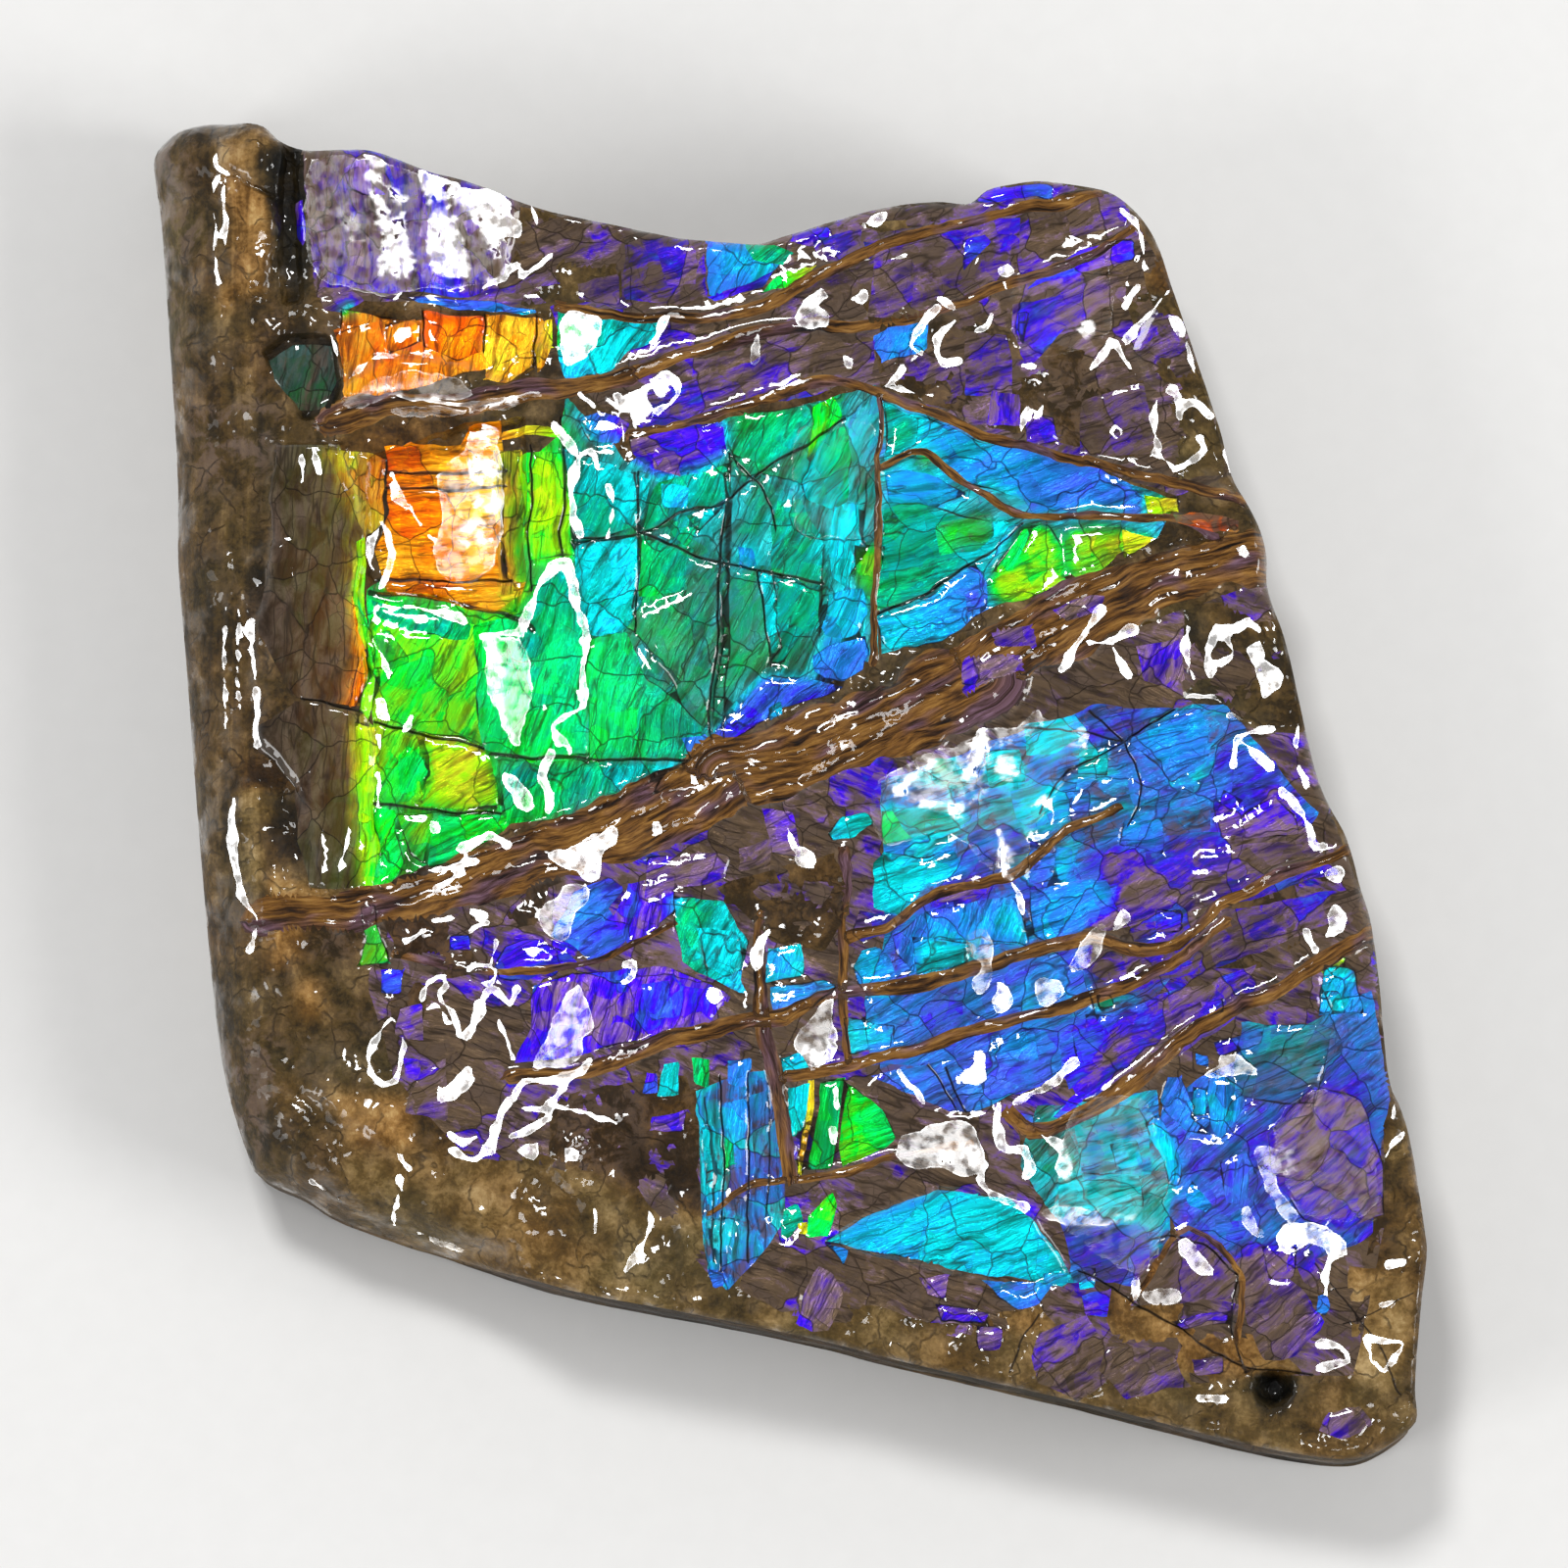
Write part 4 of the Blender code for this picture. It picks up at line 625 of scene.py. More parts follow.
# Glints and milky glare of the lacquer: strength, then the outline
GLARE_AREAS = (
    (0.02, (1036, 278, 1080, 268, 1130, 262, 1132, 340, 1090, 356, 1040, 352)),
    (0.02, (812, 440, 850, 432, 892, 436, 892, 540, 850, 546, 812, 535)),
    (0.12, (345, 404, 380, 388, 420, 376, 470, 384, 482, 400, 440, 408, 400, 404, 362, 420)),
    (0.1, (400, 418, 460, 408, 520, 402, 556, 400, 530, 414, 470, 420, 430, 428)),
    (0.1, (318, 160, 400, 165, 470, 186, 520, 204, 512, 262, 500, 285, 330, 285)),
    (0.05, (900, 800, 1000, 750, 1090, 730, 1110, 760, 1060, 840, 1030, 900, 960, 850, 900, 860)),
    (0.06, (1100, 1125, 1170, 1125, 1190, 1230, 1160, 1300, 1085, 1250, 1080, 1200)),
    (0.05, (1300, 1150, 1345, 1115, 1390, 1130, 1405, 1190, 1400, 1235, 1330, 1240)),
    (1, (378, 195, 392, 200, 400, 222, 408, 205, 410, 225, 418, 245, 422, 275, 408, 275, 382, 268,
        392, 245, 385, 225)),
    (1, (435, 215, 450, 205, 462, 212, 476, 245, 480, 270, 460, 278, 440, 272, 433, 240)),
    (1, (425, 168, 440, 170, 470, 185, 450, 202, 430, 195)),
    (1, (470, 185, 515, 192, 520, 210, 530, 220, 528, 235, 508, 240, 502, 262, 490, 225, 475, 215,
        462, 200)),
    (0.3, (342, 198, 352, 205, 365, 215, 368, 240, 357, 245, 350, 225, 340, 215)),
    (1, (572, 318, 608, 318, 610, 340, 595, 360, 578, 372, 575, 350)),
    (1, (662, 345, 668, 325, 680, 320, 676, 335, 666, 348)), (0.3, (772, 335, 765, 365, 778, 365)),
    (0.28, (478, 430, 505, 430, 510, 460, 515, 500, 512, 540, 500, 575, 480, 590, 455, 585, 440, 560,
        450, 520, 445, 490, 455, 470, 475, 450)),
    (1, (480, 430, 505, 430, 504, 450, 484, 450)), (1, (478, 462, 505, 464, 504, 486, 482, 488)),
    (1, (480, 500, 510, 500, 508, 520, 484, 520)), (0.8, (468, 525, 500, 527, 496, 550, 470, 548)),
    (0.8, (396, 475, 404, 490, 425, 520, 440, 545, 415, 520, 397, 505)),
    (0.9, (385, 712, 400, 714, 398, 735, 386, 733)),
    (0.35, (495, 650, 530, 645, 538, 660, 545, 690, 540, 720, 530, 755, 520, 758, 510, 740, 500, 700)),
    (0.7, (508, 785, 525, 790, 540, 805, 545, 825, 535, 830, 525, 820, 515, 800)),
    (1, (437, 835, 449, 836, 448, 850, 438, 849)),
    (1, (552, 872, 580, 862, 610, 855, 622, 840, 632, 845, 630, 860, 615, 875, 612, 890, 600, 900,
        585, 890, 565, 880)),
    (0.4, (575, 900, 598, 905, 600, 920, 585, 935, 580, 960, 560, 955, 545, 935, 560, 920, 572, 915)),
    (0.7, (668, 835, 674, 836, 673, 850, 668, 849)), (0.7, (705, 790, 715, 791, 714, 800, 706, 800)),
    (0.8, (790, 945, 782, 965, 780, 985, 772, 998, 768, 990, 765, 975, 772, 960)),
    (0.5, (590, 1002, 600, 1030, 607, 1055, 595, 1060, 590, 1080, 560, 1090, 545, 1085, 560, 1050,
        575, 1020)),
    (1, (722, 1010, 735, 1010, 740, 1020, 730, 1030, 722, 1025)),
    (1, (446, 1105, 452, 1112, 478, 1090, 486, 1100, 470, 1115, 448, 1125)),
    (1, (530, 1175, 550, 1165, 545, 1185)), (0.9, (575, 1170, 590, 1172, 588, 1185, 577, 1184)),
    (0.9, (884, 228, 888, 216, 908, 208, 905, 220, 895, 228)),
    (0.6, (808, 320, 825, 300, 835, 290, 842, 300, 832, 310, 845, 320, 840, 335, 820, 338)),
    (1, (885, 283, 888, 295, 880, 305, 870, 300)), (0.8, (860, 360, 870, 361, 869, 372, 861, 371)),
    (0.9, (1105, 325, 1120, 326, 1119, 345, 1107, 344)),
    (1, (1188, 386, 1200, 387, 1199, 398, 1189, 397)), (0.6, (1195, 318, 1212, 325, 1208, 345)),
    (1, (1272, 660, 1285, 648, 1292, 660, 1292, 672, 1308, 682, 1310, 695, 1300, 705, 1290, 712,
        1285, 700, 1278, 680)),
    (0.7, (1260, 560, 1268, 552, 1274, 565, 1266, 573)),
    (0.3, (898, 800, 920, 785, 950, 770, 975, 760, 1000, 755, 1010, 745, 1040, 740, 1060, 725,
        1065, 735, 1050, 750, 1020, 760, 1005, 780, 1000, 800, 1005, 815, 960, 830, 930, 815)),
    (0.8, (1015, 772, 1035, 770, 1034, 795, 1017, 794)),
    (0.35, (985, 955, 1005, 950, 1015, 970, 1010, 1000, 998, 1015, 990, 1005, 1000, 985, 985, 975)),
    (0.8, (1015, 1000, 1010, 1020, 1015, 1035, 1030, 1025, 1028, 1010)),
    (0.45, (1056, 998, 1068, 993, 1080, 998, 1085, 1010, 1080, 1022, 1068, 1027, 1056, 1022,
        1051, 1010)),
    (0.35, (1085, 985, 1110, 955, 1125, 940, 1130, 950, 1125, 975, 1105, 990)),
    (0.6, (1135, 950, 1145, 925, 1155, 935)), (0.6, (1100, 740, 1112, 750, 1100, 765, 1090, 760)),
    (0.8, (815, 865, 835, 867, 833, 885, 817, 883)), (0.7, (1350, 892, 1368, 880, 1372, 902)),
    (0.8, (1360, 922, 1372, 930, 1370, 950, 1355, 962, 1352, 955)),
    (0.4, (850, 1010, 830, 1040, 810, 1065, 825, 1090, 845, 1090, 858, 1070, 850, 1040)),
    (0.5, (915, 1180, 920, 1160, 945, 1150, 985, 1142, 995, 1160, 1005, 1180, 1005, 1195, 985, 1200,
        955, 1195, 930, 1198)),
    (1, (955, 1175, 970, 1174, 970, 1185, 957, 1186)),
    (1, (980, 1170, 1000, 1171, 999, 1190, 982, 1189)),
    (0.7, (1065, 1155, 1085, 1165, 1092, 1180, 1095, 1205, 1088, 1210, 1075, 1195, 1078, 1180,
        1066, 1168)),
    (0.4, (1065, 1238, 1085, 1230, 1155, 1240, 1165, 1248, 1095, 1252, 1075, 1248)),
    (0.4, (1240, 1075, 1265, 1080, 1290, 1095, 1270, 1100, 1230, 1100, 1245, 1088)),
    (0.35, (1282, 1172, 1300, 1168, 1320, 1180, 1325, 1195, 1305, 1200, 1310, 1220, 1325, 1240,
        1315, 1250, 1300, 1230, 1285, 1200)),
    (0.35, (1262, 1235, 1275, 1225, 1285, 1250, 1298, 1265, 1275, 1255)),
    (1, (1310, 1252, 1340, 1248, 1370, 1268, 1372, 1280, 1358, 1290, 1355, 1325, 1345, 1325, 1348, 1290,
        1352, 1280, 1330, 1270, 1318, 1285, 1305, 1270)),
    (0.5, (1200, 1270, 1215, 1268, 1230, 1290, 1248, 1300, 1220, 1300, 1205, 1285)),
    (0.4, (1165, 1315, 1200, 1316, 1198, 1330, 1168, 1329)),
)

# Thin glints: strength, full width in drawing units, points. The last are two rows of beads on the roll
GLARE_STROKES = (
    (1, 5, (370, 153, 388, 163)), (0.9, 4, (375, 175, 410, 200)),
    (1, 6, (490, 290, 512, 280, 516, 270, 530, 262)), (0.9, 5, (535, 275, 560, 255)),
    (0.9, 4, (540, 200, 548, 228)), (0.8, 4, (220, 135, 220, 160, 232, 170)),
    (0.9, 4, (220, 172, 213, 195, 218, 230, 220, 280)), (0.8, 4, (228, 175, 225, 200, 233, 270)),
    (0.9, 5, (337, 338, 348, 386)), (0.5, 5, (349, 387, 372, 368, 392, 362, 440, 362)),
    (0.5, 6, (410, 402, 478, 410)), (0.8, 5, (500, 412, 545, 400)), (0.3, 6, (375, 400, 440, 385)),
    (1, 6, (256, 630, 258, 660, 262, 690)), (1, 6, (262, 698, 260, 730, 262, 760)),
    (1, 8, (240, 815, 238, 845, 238, 880, 248, 922, 262, 935, 256, 965)),
    (0.8, 4, (306, 462, 308, 490)), (0.8, 4, (318, 455, 325, 480)),
    (1, 9, (664, 385, 672, 378, 685, 385, 690, 400, 668, 418)), (0.9, 5, (628, 402, 635, 450)),
    (0.9, 5, (640, 402, 646, 440)), (0.8, 5, (590, 400, 605, 412)),
    (1, 6, (388, 530, 378, 548, 374, 575, 380, 580)), (1, 7, (388, 530, 396, 555, 398, 570, 390, 595)),
    (1, 6, (412, 618, 475, 632)), (0.9, 5, (378, 655, 390, 665, 394, 690)),
    (1, 6, (412, 745, 420, 730)), (1, 12, (500, 655, 508, 700, 515, 740, 525, 755)),
    (1, 8, (495, 650, 530, 642)),
    (1, 10, (530, 642, 540, 620, 550, 595, 565, 578, 578, 572, 585, 590, 592, 620, 598, 650, 597, 690,
        595, 720, 575, 730, 560, 742, 578, 765)),
    (1, 9, (608, 475, 600, 460, 590, 462, 582, 480, 580, 500, 592, 545)),
    (0.9, 5, (620, 495, 625, 515, 620, 545)), (1, 10, (566, 432, 585, 460)),
    (0.8, 5, (656, 540, 680, 547)), (1, 9, (560, 772, 555, 790, 562, 810, 558, 825)),
    (1, 5, (384, 750, 386, 770)), (1, 5, (384, 790, 388, 820)), (1, 12, (470, 865, 500, 855, 515, 865)),
    (1, 6, (435, 890, 485, 880)), (1, 6, (440, 910, 470, 890)), (1, 7, (480, 928, 492, 932)),
    (1, 6, (440, 938, 460, 936)), (1, 7, (415, 962, 430, 948)), (1, 6, (480, 950, 495, 940)),
    (0.9, 6, (640, 985, 650, 980, 648, 995, 638, 1003)),
    (1, 6, (478, 990, 490, 984, 505, 990, 500, 1004, 480, 1002)), (0.9, 5, (505, 960, 500, 985)),
    (1, 7, (432, 1020, 440, 1005, 455, 998, 458, 1008, 450, 1015, 462, 1035, 470, 1060)),
    (1, 6, (458, 1045, 450, 1028, 437, 1030)),
    (1, 9, (478, 1060, 490, 1030, 500, 1010, 520, 1025, 528, 1010)), (0.9, 5, (510, 1040, 525, 1080)),
    (1, 7, (400, 1040, 412, 1055, 408, 1080, 402, 1105, 390, 1108, 378, 1095, 375, 1080, 385, 1055,
        400, 1040)),
    (1, 8, (460, 1155, 475, 1165, 485, 1160)), (1, 8, (462, 1172, 480, 1182, 495, 1175, 503, 1150)),
    (1, 9, (525, 1120, 535, 1105, 560, 1102, 590, 1095, 600, 1085)),
    (1, 8, (525, 1115, 510, 1140, 500, 1175)), (1, 8, (530, 1130, 560, 1130, 575, 1110)),
    (0.9, 5, (560, 1125, 590, 1135, 630, 1148)), (1, 8, (520, 1160, 560, 1140)),
    (1, 10, (410, 1180, 420, 1190)), (1, 8, (411, 1199, 412, 1212)), (1, 6, (408, 1218, 407, 1226)),
    (1, 5, (405, 1235, 404, 1246)), (0.9, 7, (660, 1228, 664, 1245, 655, 1270, 640, 1295)),
    (0.8, 5, (610, 1238, 609, 1262)), (0.3, 6, (428, 1255, 470, 1272)),
    (0.3, 6, (318, 1200, 345, 1220)), (0.8, 4, (912, 262, 927, 258)),
    (1, 8, (956, 310, 940, 325, 930, 350, 940, 358)), (0.9, 6, (960, 300, 975, 310)),
    (1, 8, (975, 322, 962, 335, 958, 355, 965, 368, 980, 365)),
    (0.9, 6, (995, 332, 1008, 325, 1010, 315)),
    (0.9, 5, (1022, 272, 1030, 265, 1036, 272, 1029, 279, 1022, 272)), (0.8, 4, (1025, 287, 1030, 296)),
    (0.8, 4, (920, 372, 905, 395)), (0.8, 4, (905, 393, 950, 400)), (0.9, 5, (1040, 440, 1050, 412)),
    (0.9, 5, (1058, 420, 1066, 410)), (1, 6, (1145, 210, 1160, 222, 1168, 245, 1170, 268)),
    (1, 7, (1165, 285, 1150, 308)), (1, 7, (1193, 293, 1178, 315, 1162, 330, 1150, 345)),
    (1, 7, (1115, 375, 1130, 355, 1135, 345, 1157, 378)), (0.9, 4, (1212, 345, 1222, 385)),
    (0.9, 5, (1200, 400, 1204, 425)), (1, 8, (1205, 412, 1220, 405, 1235, 420)),
    (0.9, 5, (1180, 405, 1178, 425, 1182, 455)), (0.8, 4, (1178, 460, 1196, 476)),
    (0.9, 5, (1225, 445, 1230, 455, 1215, 470, 1198, 478)),
    (0.9, 5, (1136, 438, 1142, 431, 1150, 438, 1143, 445, 1136, 438)), (0.9, 4, (1240, 430, 1258, 480)),
    (1, 10, (1125, 620, 1105, 650, 1085, 685)), (1, 9, (1115, 655, 1135, 655, 1160, 640)),
    (1, 7, (1138, 660, 1150, 690)), (1, 7, (1213, 640, 1210, 665, 1220, 688)),
    (1, 8, (1240, 640, 1232, 660, 1236, 685)), (1, 8, (1240, 640, 1262, 640, 1275, 630, 1285, 640)),
    (1, 7, (1252, 650, 1258, 665, 1245, 675)), (0.4, 6, (1210, 710, 1240, 712)),
    (0.4, 6, (1255, 730, 1275, 738)), (1, 12, (918, 805, 950, 780)), (1, 12, (985, 790, 1005, 750)),
    (1, 10, (945, 820, 975, 825)), (1, 8, (1058, 820, 1065, 815, 1075, 830, 1070, 850, 1055, 855)),
    (1, 9, (1018, 850, 1025, 870, 1025, 890)), (0.9, 7, (1032, 897, 1040, 912)),
    (0.9, 7, (1042, 918, 1044, 930)), (0.9, 6, (805, 845, 812, 865)),
    (1, 9, (1262, 780, 1265, 755, 1295, 742)), (1, 9, (1265, 757, 1295, 778)),
    (1, 8, (1305, 800, 1320, 820, 1335, 845, 1340, 862, 1350, 862)), (1, 7, (1325, 740, 1322, 760)),
    (1, 6, (1325, 780, 1335, 800)), (0.9, 5, (1335, 950, 1345, 970)),
    (1, 8, (825, 1075, 840, 1085, 850, 1070)), (1, 6, (880, 1085, 893, 1085, 898, 1098, 888, 1108)),
    (0.9, 6, (920, 1095, 930, 1108)), (0.9, 6, (936, 1112, 945, 1125)),
    (0.9, 6, (853, 1112, 854, 1130)), (0.9, 7, (850, 1150, 851, 1165)),
    (1, 10, (1018, 1130, 1015, 1145, 1020, 1165, 1030, 1175, 1045, 1175, 1050, 1190, 1045, 1200)),
    (0.6, 9, (1005, 1190, 1000, 1205, 1015, 1220, 1045, 1230)),
    (0.6, 8, (1035, 1128, 1060, 1115, 1085, 1095, 1098, 1085)),
    (1, 8, (1392, 1365, 1398, 1385, 1410, 1398, 1420, 1385, 1430, 1370, 1405, 1368, 1392, 1365)),
    (1, 8, (1345, 1375, 1365, 1370, 1375, 1385, 1345, 1395)), (0.8, 9, (1225, 1423, 1250, 1424)),
    (0.8, 5, (1410, 1330, 1430, 1325)), (0.8, 8, (1418, 1290, 1430, 1288)),
    (0.9, 6, (1415, 1180, 1432, 1155)), (0.8, 5, (1422, 1112, 1423, 1140)),
    (0.8, 5, (1385, 1465, 1400, 1450)), (0.6, 7, (1155, 1306, 1158, 1324)),
) + tuple(
    (0.7, 4, (228, y, 229, y + 5)) for y in range(615, 745, 10)
) + tuple(
    (0.5, 3, (243, y, 244, y + 6)) for y in range(618, 730, 14)
)
STROKE_SWELL = 0.45

# What the corners of the walls and the back show, and the marks of their points: no glint and no crack
WALL_CORNERS = {"shell": (0, 0, 0), "grain": (0, 0, 0), "ground": (0.38, 0.35, 0.3), "kind": (0, 0, 1)}
NO_MARKS = (-1, 0, -1)

# Colours of the film, seams, stone and sky, each with its place on a ramp
FILM = (
    (0.0, (1.0, 0.12, 0.0)), (0.08, (1.0, 0.28, 0.0)), (0.16, (1.0, 0.52, 0.02)),
    (0.22, (0.85, 0.78, 0.02)), (0.3, (0.33, 0.85, 0.0)), (0.38, (0.0, 0.88, 0.02)),
    (0.48, (0.0, 0.56, 0.17)), (0.56, (0.0, 0.33, 0.27)), (0.64, (0.0, 0.7, 0.8)),
    (0.72, (0.01, 0.3, 0.88)), (0.8, (0.04, 0.14, 0.85)), (0.86, (0.03, 0.0, 0.95)),
    (0.882, (0.07, 0.005, 0.85)), (0.9, (0.15, 0.055, 0.54)), (0.935, (0.22, 0.125, 0.27)),
    (0.965, (0.2, 0.13, 0.14)), (1.0, (0.13, 0.085, 0.05)),
)
RUSTY_SEAM = (
    (0.3, (0.005, 0.002, 0.001)), (0.42, (0.05, 0.02, 0.004)), (0.54, (0.18, 0.078, 0.015)),
    (0.66, (0.32, 0.16, 0.035)), (0.8, (0.48, 0.3, 0.12)),
)
MAUVE_SEAM = (
    (0.3, (0.005, 0.002, 0.003)), (0.42, (0.045, 0.02, 0.016)), (0.54, (0.11, 0.055, 0.07)),
    (0.66, (0.2, 0.11, 0.16)), (0.8, (0.36, 0.24, 0.22)),
)
OLIVE_STONE = (
    (0.0, (0.003, 0.003, 0.002)), (0.35, (0.023, 0.018, 0.006)), (0.6, (0.08, 0.06, 0.02)),
    (0.8, (0.18, 0.138, 0.055)), (1.0, (0.37, 0.28, 0.14)),
)
AMBER_STONE = (
    (0.0, (0.004, 0.002, 0.001)), (0.35, (0.037, 0.016, 0.003)), (0.6, (0.135, 0.06, 0.01)),
    (0.8, (0.33, 0.17, 0.045)), (1.0, (0.55, 0.35, 0.13)),
)
SKY = (
    (0.0, (0.85, 0.85, 0.84)), (0.3, (0.8, 0.8, 0.8)), (0.75, (0.25, 0.25, 0.26)),
    (1.0, (0.12, 0.12, 0.13)),
)

# Cells to the millimetre of the larger and smaller pieces that the shell is crazed into
PLATE_SCALE = 0.42
SHARD_SCALE = 1.25

# The key light's direction, and the view: angle in degrees, distances in metres, sensor in millimetres
KEY_WAY = Vector((-0.17, 0.39, 0.9))
CAMERA_TILT = 5.5
CAMERA_DISTANCE = 0.8
SENSOR_WIDTH = 36
FACE_LEVEL = 8 * MM


def plan(points):
    """Drawing units as metres in the plan, an array of x and y"""
    points = np.asarray(points, float).reshape(-1, 2) - DRAWING_CENTRE
    return points * (DRAWING_UNIT, -DRAWING_UNIT)


def soft_step(t):
    t = np.clip(t, 0, 1)
    return t * t * (3 - 2 * t)


def lattice_noise(x, y, size, layer=0):
    """Smooth noise from -1 to 1 whose lumps are about `size` apart"""
    table = LATTICE[layer]
    x, y = np.asarray(x) / size + LATTICE_PLACE[0], np.asarray(y) / size + LATTICE_PLACE[1]
    i, j = np.floor(x).astype(int), np.floor(y).astype(int)
    s, t = soft_step(x - i), soft_step(y - j)
    i, j = i % LATTICE_SIDE, j % LATTICE_SIDE
    k, m = (i + 1) % LATTICE_SIDE, (j + 1) % LATTICE_SIDE
    low = table[i, j] * (1 - s) + table[k, j] * s
    high = table[i, m] * (1 - s) + table[k, m] * s
    return (low * (1 - t) + high * t) * 2 - 1


def rough_noise(x, y, size, layer=0, octaves=3):
    """Noise whose every octave is finer and fainter than the one before"""
    total, share = 0, 1
    for n in range(octaves):
        total = total + share * lattice_noise(x, y, size, (layer + n) % len(LATTICE))
        size, share = size / OCTAVE_SHRINK, share * OCTAVE_FADE
    return total / OCTAVE_TOTAL


def curve_through(points, spacing, closed=False):
    """Points about `spacing` apart along a smooth curve through the given ones"""
    points = [np.asarray(p, float) for p in points]
    count = len(points) if closed else len(points) - 1
    found = []
    for i in range(count):
        b, c = points[i], points[(i + 1) % len(points)]
        a = points[i - 1] if closed or i else 2 * b - c
        d = points[(i + 2) % len(points)] if closed or i + 2 < len(points) else 2 * c - b
        steps = max(1, round(float(np.linalg.norm(c - b)) / spacing))
        for t in np.arange(steps) / steps:
            bend = (2 * a - 5 * b + 4 * c - d) * t * t + (3 * b - a - 3 * c + d) * t**3
            found.append(b + 0.5 * ((c - a) * t + bend))
    if not closed:
        found.append(points[-1])
    return np.array(found)


def path_length(path):
    return np.linalg.norm(np.diff(path, axis=0), axis=1).sum()


def even_line(line, spacing, closed=False):
    """A line's points moved along it to lie evenly, about `spacing` apart"""
    ends = np.vstack([line, line[:1]]) if closed else line
    along = np.concatenate([[0], np.cumsum(np.linalg.norm(np.diff(ends, axis=0), axis=1))])
    count = max(1, round(along[-1] / spacing))
    places = np.arange(count + (0 if closed else 1)) * along[-1] / count
    return np.column_stack([np.interp(places, along, ends[:, i]) for i in range(2)])


def drawn_curve(points, closed=False):
    """The evenly spaced mesh points of a smooth curve through points of the drawing"""
    return even_line(curve_through(plan(points), 0.2 * MM, closed), LINE_SPACING, closed)


def nearest_on_path(spots, path, closed=False):
    """Distance from a path, and the share of the way along it at the nearest point"""
    ends = np.vstack([path, path[:1]]) if closed else path
    lengths = np.linalg.norm(np.diff(ends, axis=0), axis=1)
    before = np.concatenate([[0], np.cumsum(lengths)])
    best = np.full(len(spots), np.inf)
    where = np.zeros(len(spots))
    for a, b, length, start in zip(ends[:-1], ends[1:], lengths, before):
        side = b - a
        t = np.clip((spots - a) @ side / max(length**2, TINY), 0, 1)
        gap = np.linalg.norm(spots - a - t[:, None] * side, axis=1)
        closer = gap < best
        best[closer] = gap[closer]
        where[closer] = (start + t[closer] * length) / before[-1]
    return best, where


def inside(spots, loop):
    x, y = spots.T
    found = np.zeros(len(spots), bool)
    for (ax, ay), (bx, by) in zip(loop, np.roll(loop, -1, axis=0)):
        if ay != by:
            found ^= ((ay > y) != (by > y)) & (x < (bx - ax) * (y - ay) / (by - ay) + ax)
    return found


def near_box(spots, path, margin):
    """The numbers of the spots within `margin` of a path's bounding box"""
    low, high = path.min(axis=0) - margin, path.max(axis=0) + margin
    return np.flatnonzero(((spots >= low) & (spots <= high)).all(axis=1))


def numbers_inside(spots, loop):
    near = near_box(spots, loop, 0)
    return near[inside(spots[near], loop)]


def depth_inside(spots, loop):
    gap = nearest_on_path(spots, loop, closed=True)[0]
    return np.where(inside(spots, loop), gap, -gap)


def tree_of(points):
    """A search tree over points of the plan"""
    tree = kdtree.KDTree(len(points))
    for i, (x, y) in enumerate(points):
        tree.insert((x, y, 0), i)
    tree.balance()
    return tree


def gaps_to(tree, spots):
    """The distance from each spot to the nearest point of a tree"""
    return np.array([tree.find((x, y, 0))[2] for x, y in spots])


def triangulate(points, links):
    """The plan's points and the triangles between them, which keep the links as edges"""
    places, _, faces, *_ = delaunay_2d_cdt([Vector(p) for p in points], links, [], 1, MERGE_GAP)
    return np.array([tuple(p) for p in places]), np.array([face[:3] for face in faces])


def roll_share(spots):
    """How far down the rolled keel each spot lies, from 0 at its shoulder to 1 at its side"""
    x, y = spots.T
    side, shoulder = plan(ROLL_SIDE), plan(SHOULDER)
    x_side = np.interp(y, side[::-1, 1], side[::-1, 0])
    x_shoulder = np.interp(y, shoulder[::-1, 1], shoulder[::-1, 0])
    return np.clip((x_shoulder - x) / np.maximum(x_shoulder - x_side, LEAST_ROLL_WIDTH), 0, 1)


def rim_radius(share):
    return RIM_RADIUS + (ROLL_RADIUS - RIM_RADIUS) * soft_step(share / ROUND_SHARE)


SEAM_PATHS = [
    (curve_through(plan(line), 0.4 * MM), start, end, rise) for line, start, end, rise in SEAMS.values()
]


def seam_half(number, half, along, side):
    """A seam's half width, which swells and shrinks on its own on each side of it"""
    swell = rough_noise(along + 0.037 * number, side * 0.011 + along * 0, 1.7 * MM, 6)
    share = BROAD_SEAM_SHARE if number < BROAD_SEAMS else THIN_SEAM_SHARE
    return half * share * (1 + SEAM_SWELL * swell)


def seam_facts(spots):
    """For each spot: how far inside a seam it is, the seam's rise, the way along and across, its number"""
    depth = np.full(len(spots), -1.0)
    rise, along, across = np.zeros((3, len(spots)))
    number = np.full(len(spots), -1)
    for n, (path, start, end, lift) in enumerate(SEAM_PATHS):
        near = near_box(spots, path, max(start, end) + 0.5 * MM)
        gap, where = nearest_on_path(spots[near], path)
        length = path_length(path)
        ahead = path[-1] - path[0]
        shares = np.linspace(0, 1, len(path))
        middle = np.column_stack([np.interp(where, shares, path[:, i]) for i in range(2)])
        away = spots[near] - middle
        side = np.sign(ahead[0] * away[:, 1] - ahead[1] * away[:, 0])
        half = seam_half(n, start + (end - start) * where, where * length, side)
        deeper = half - gap > depth[near]
        chosen = near[deeper]
        depth[chosen] = (half - gap)[deeper]
        rise[chosen] = lift
        along[chosen] = (where * length)[deeper]
        across[chosen] = (gap * side)[deeper]
        number[chosen] = n
    return depth, rise, along, across, number


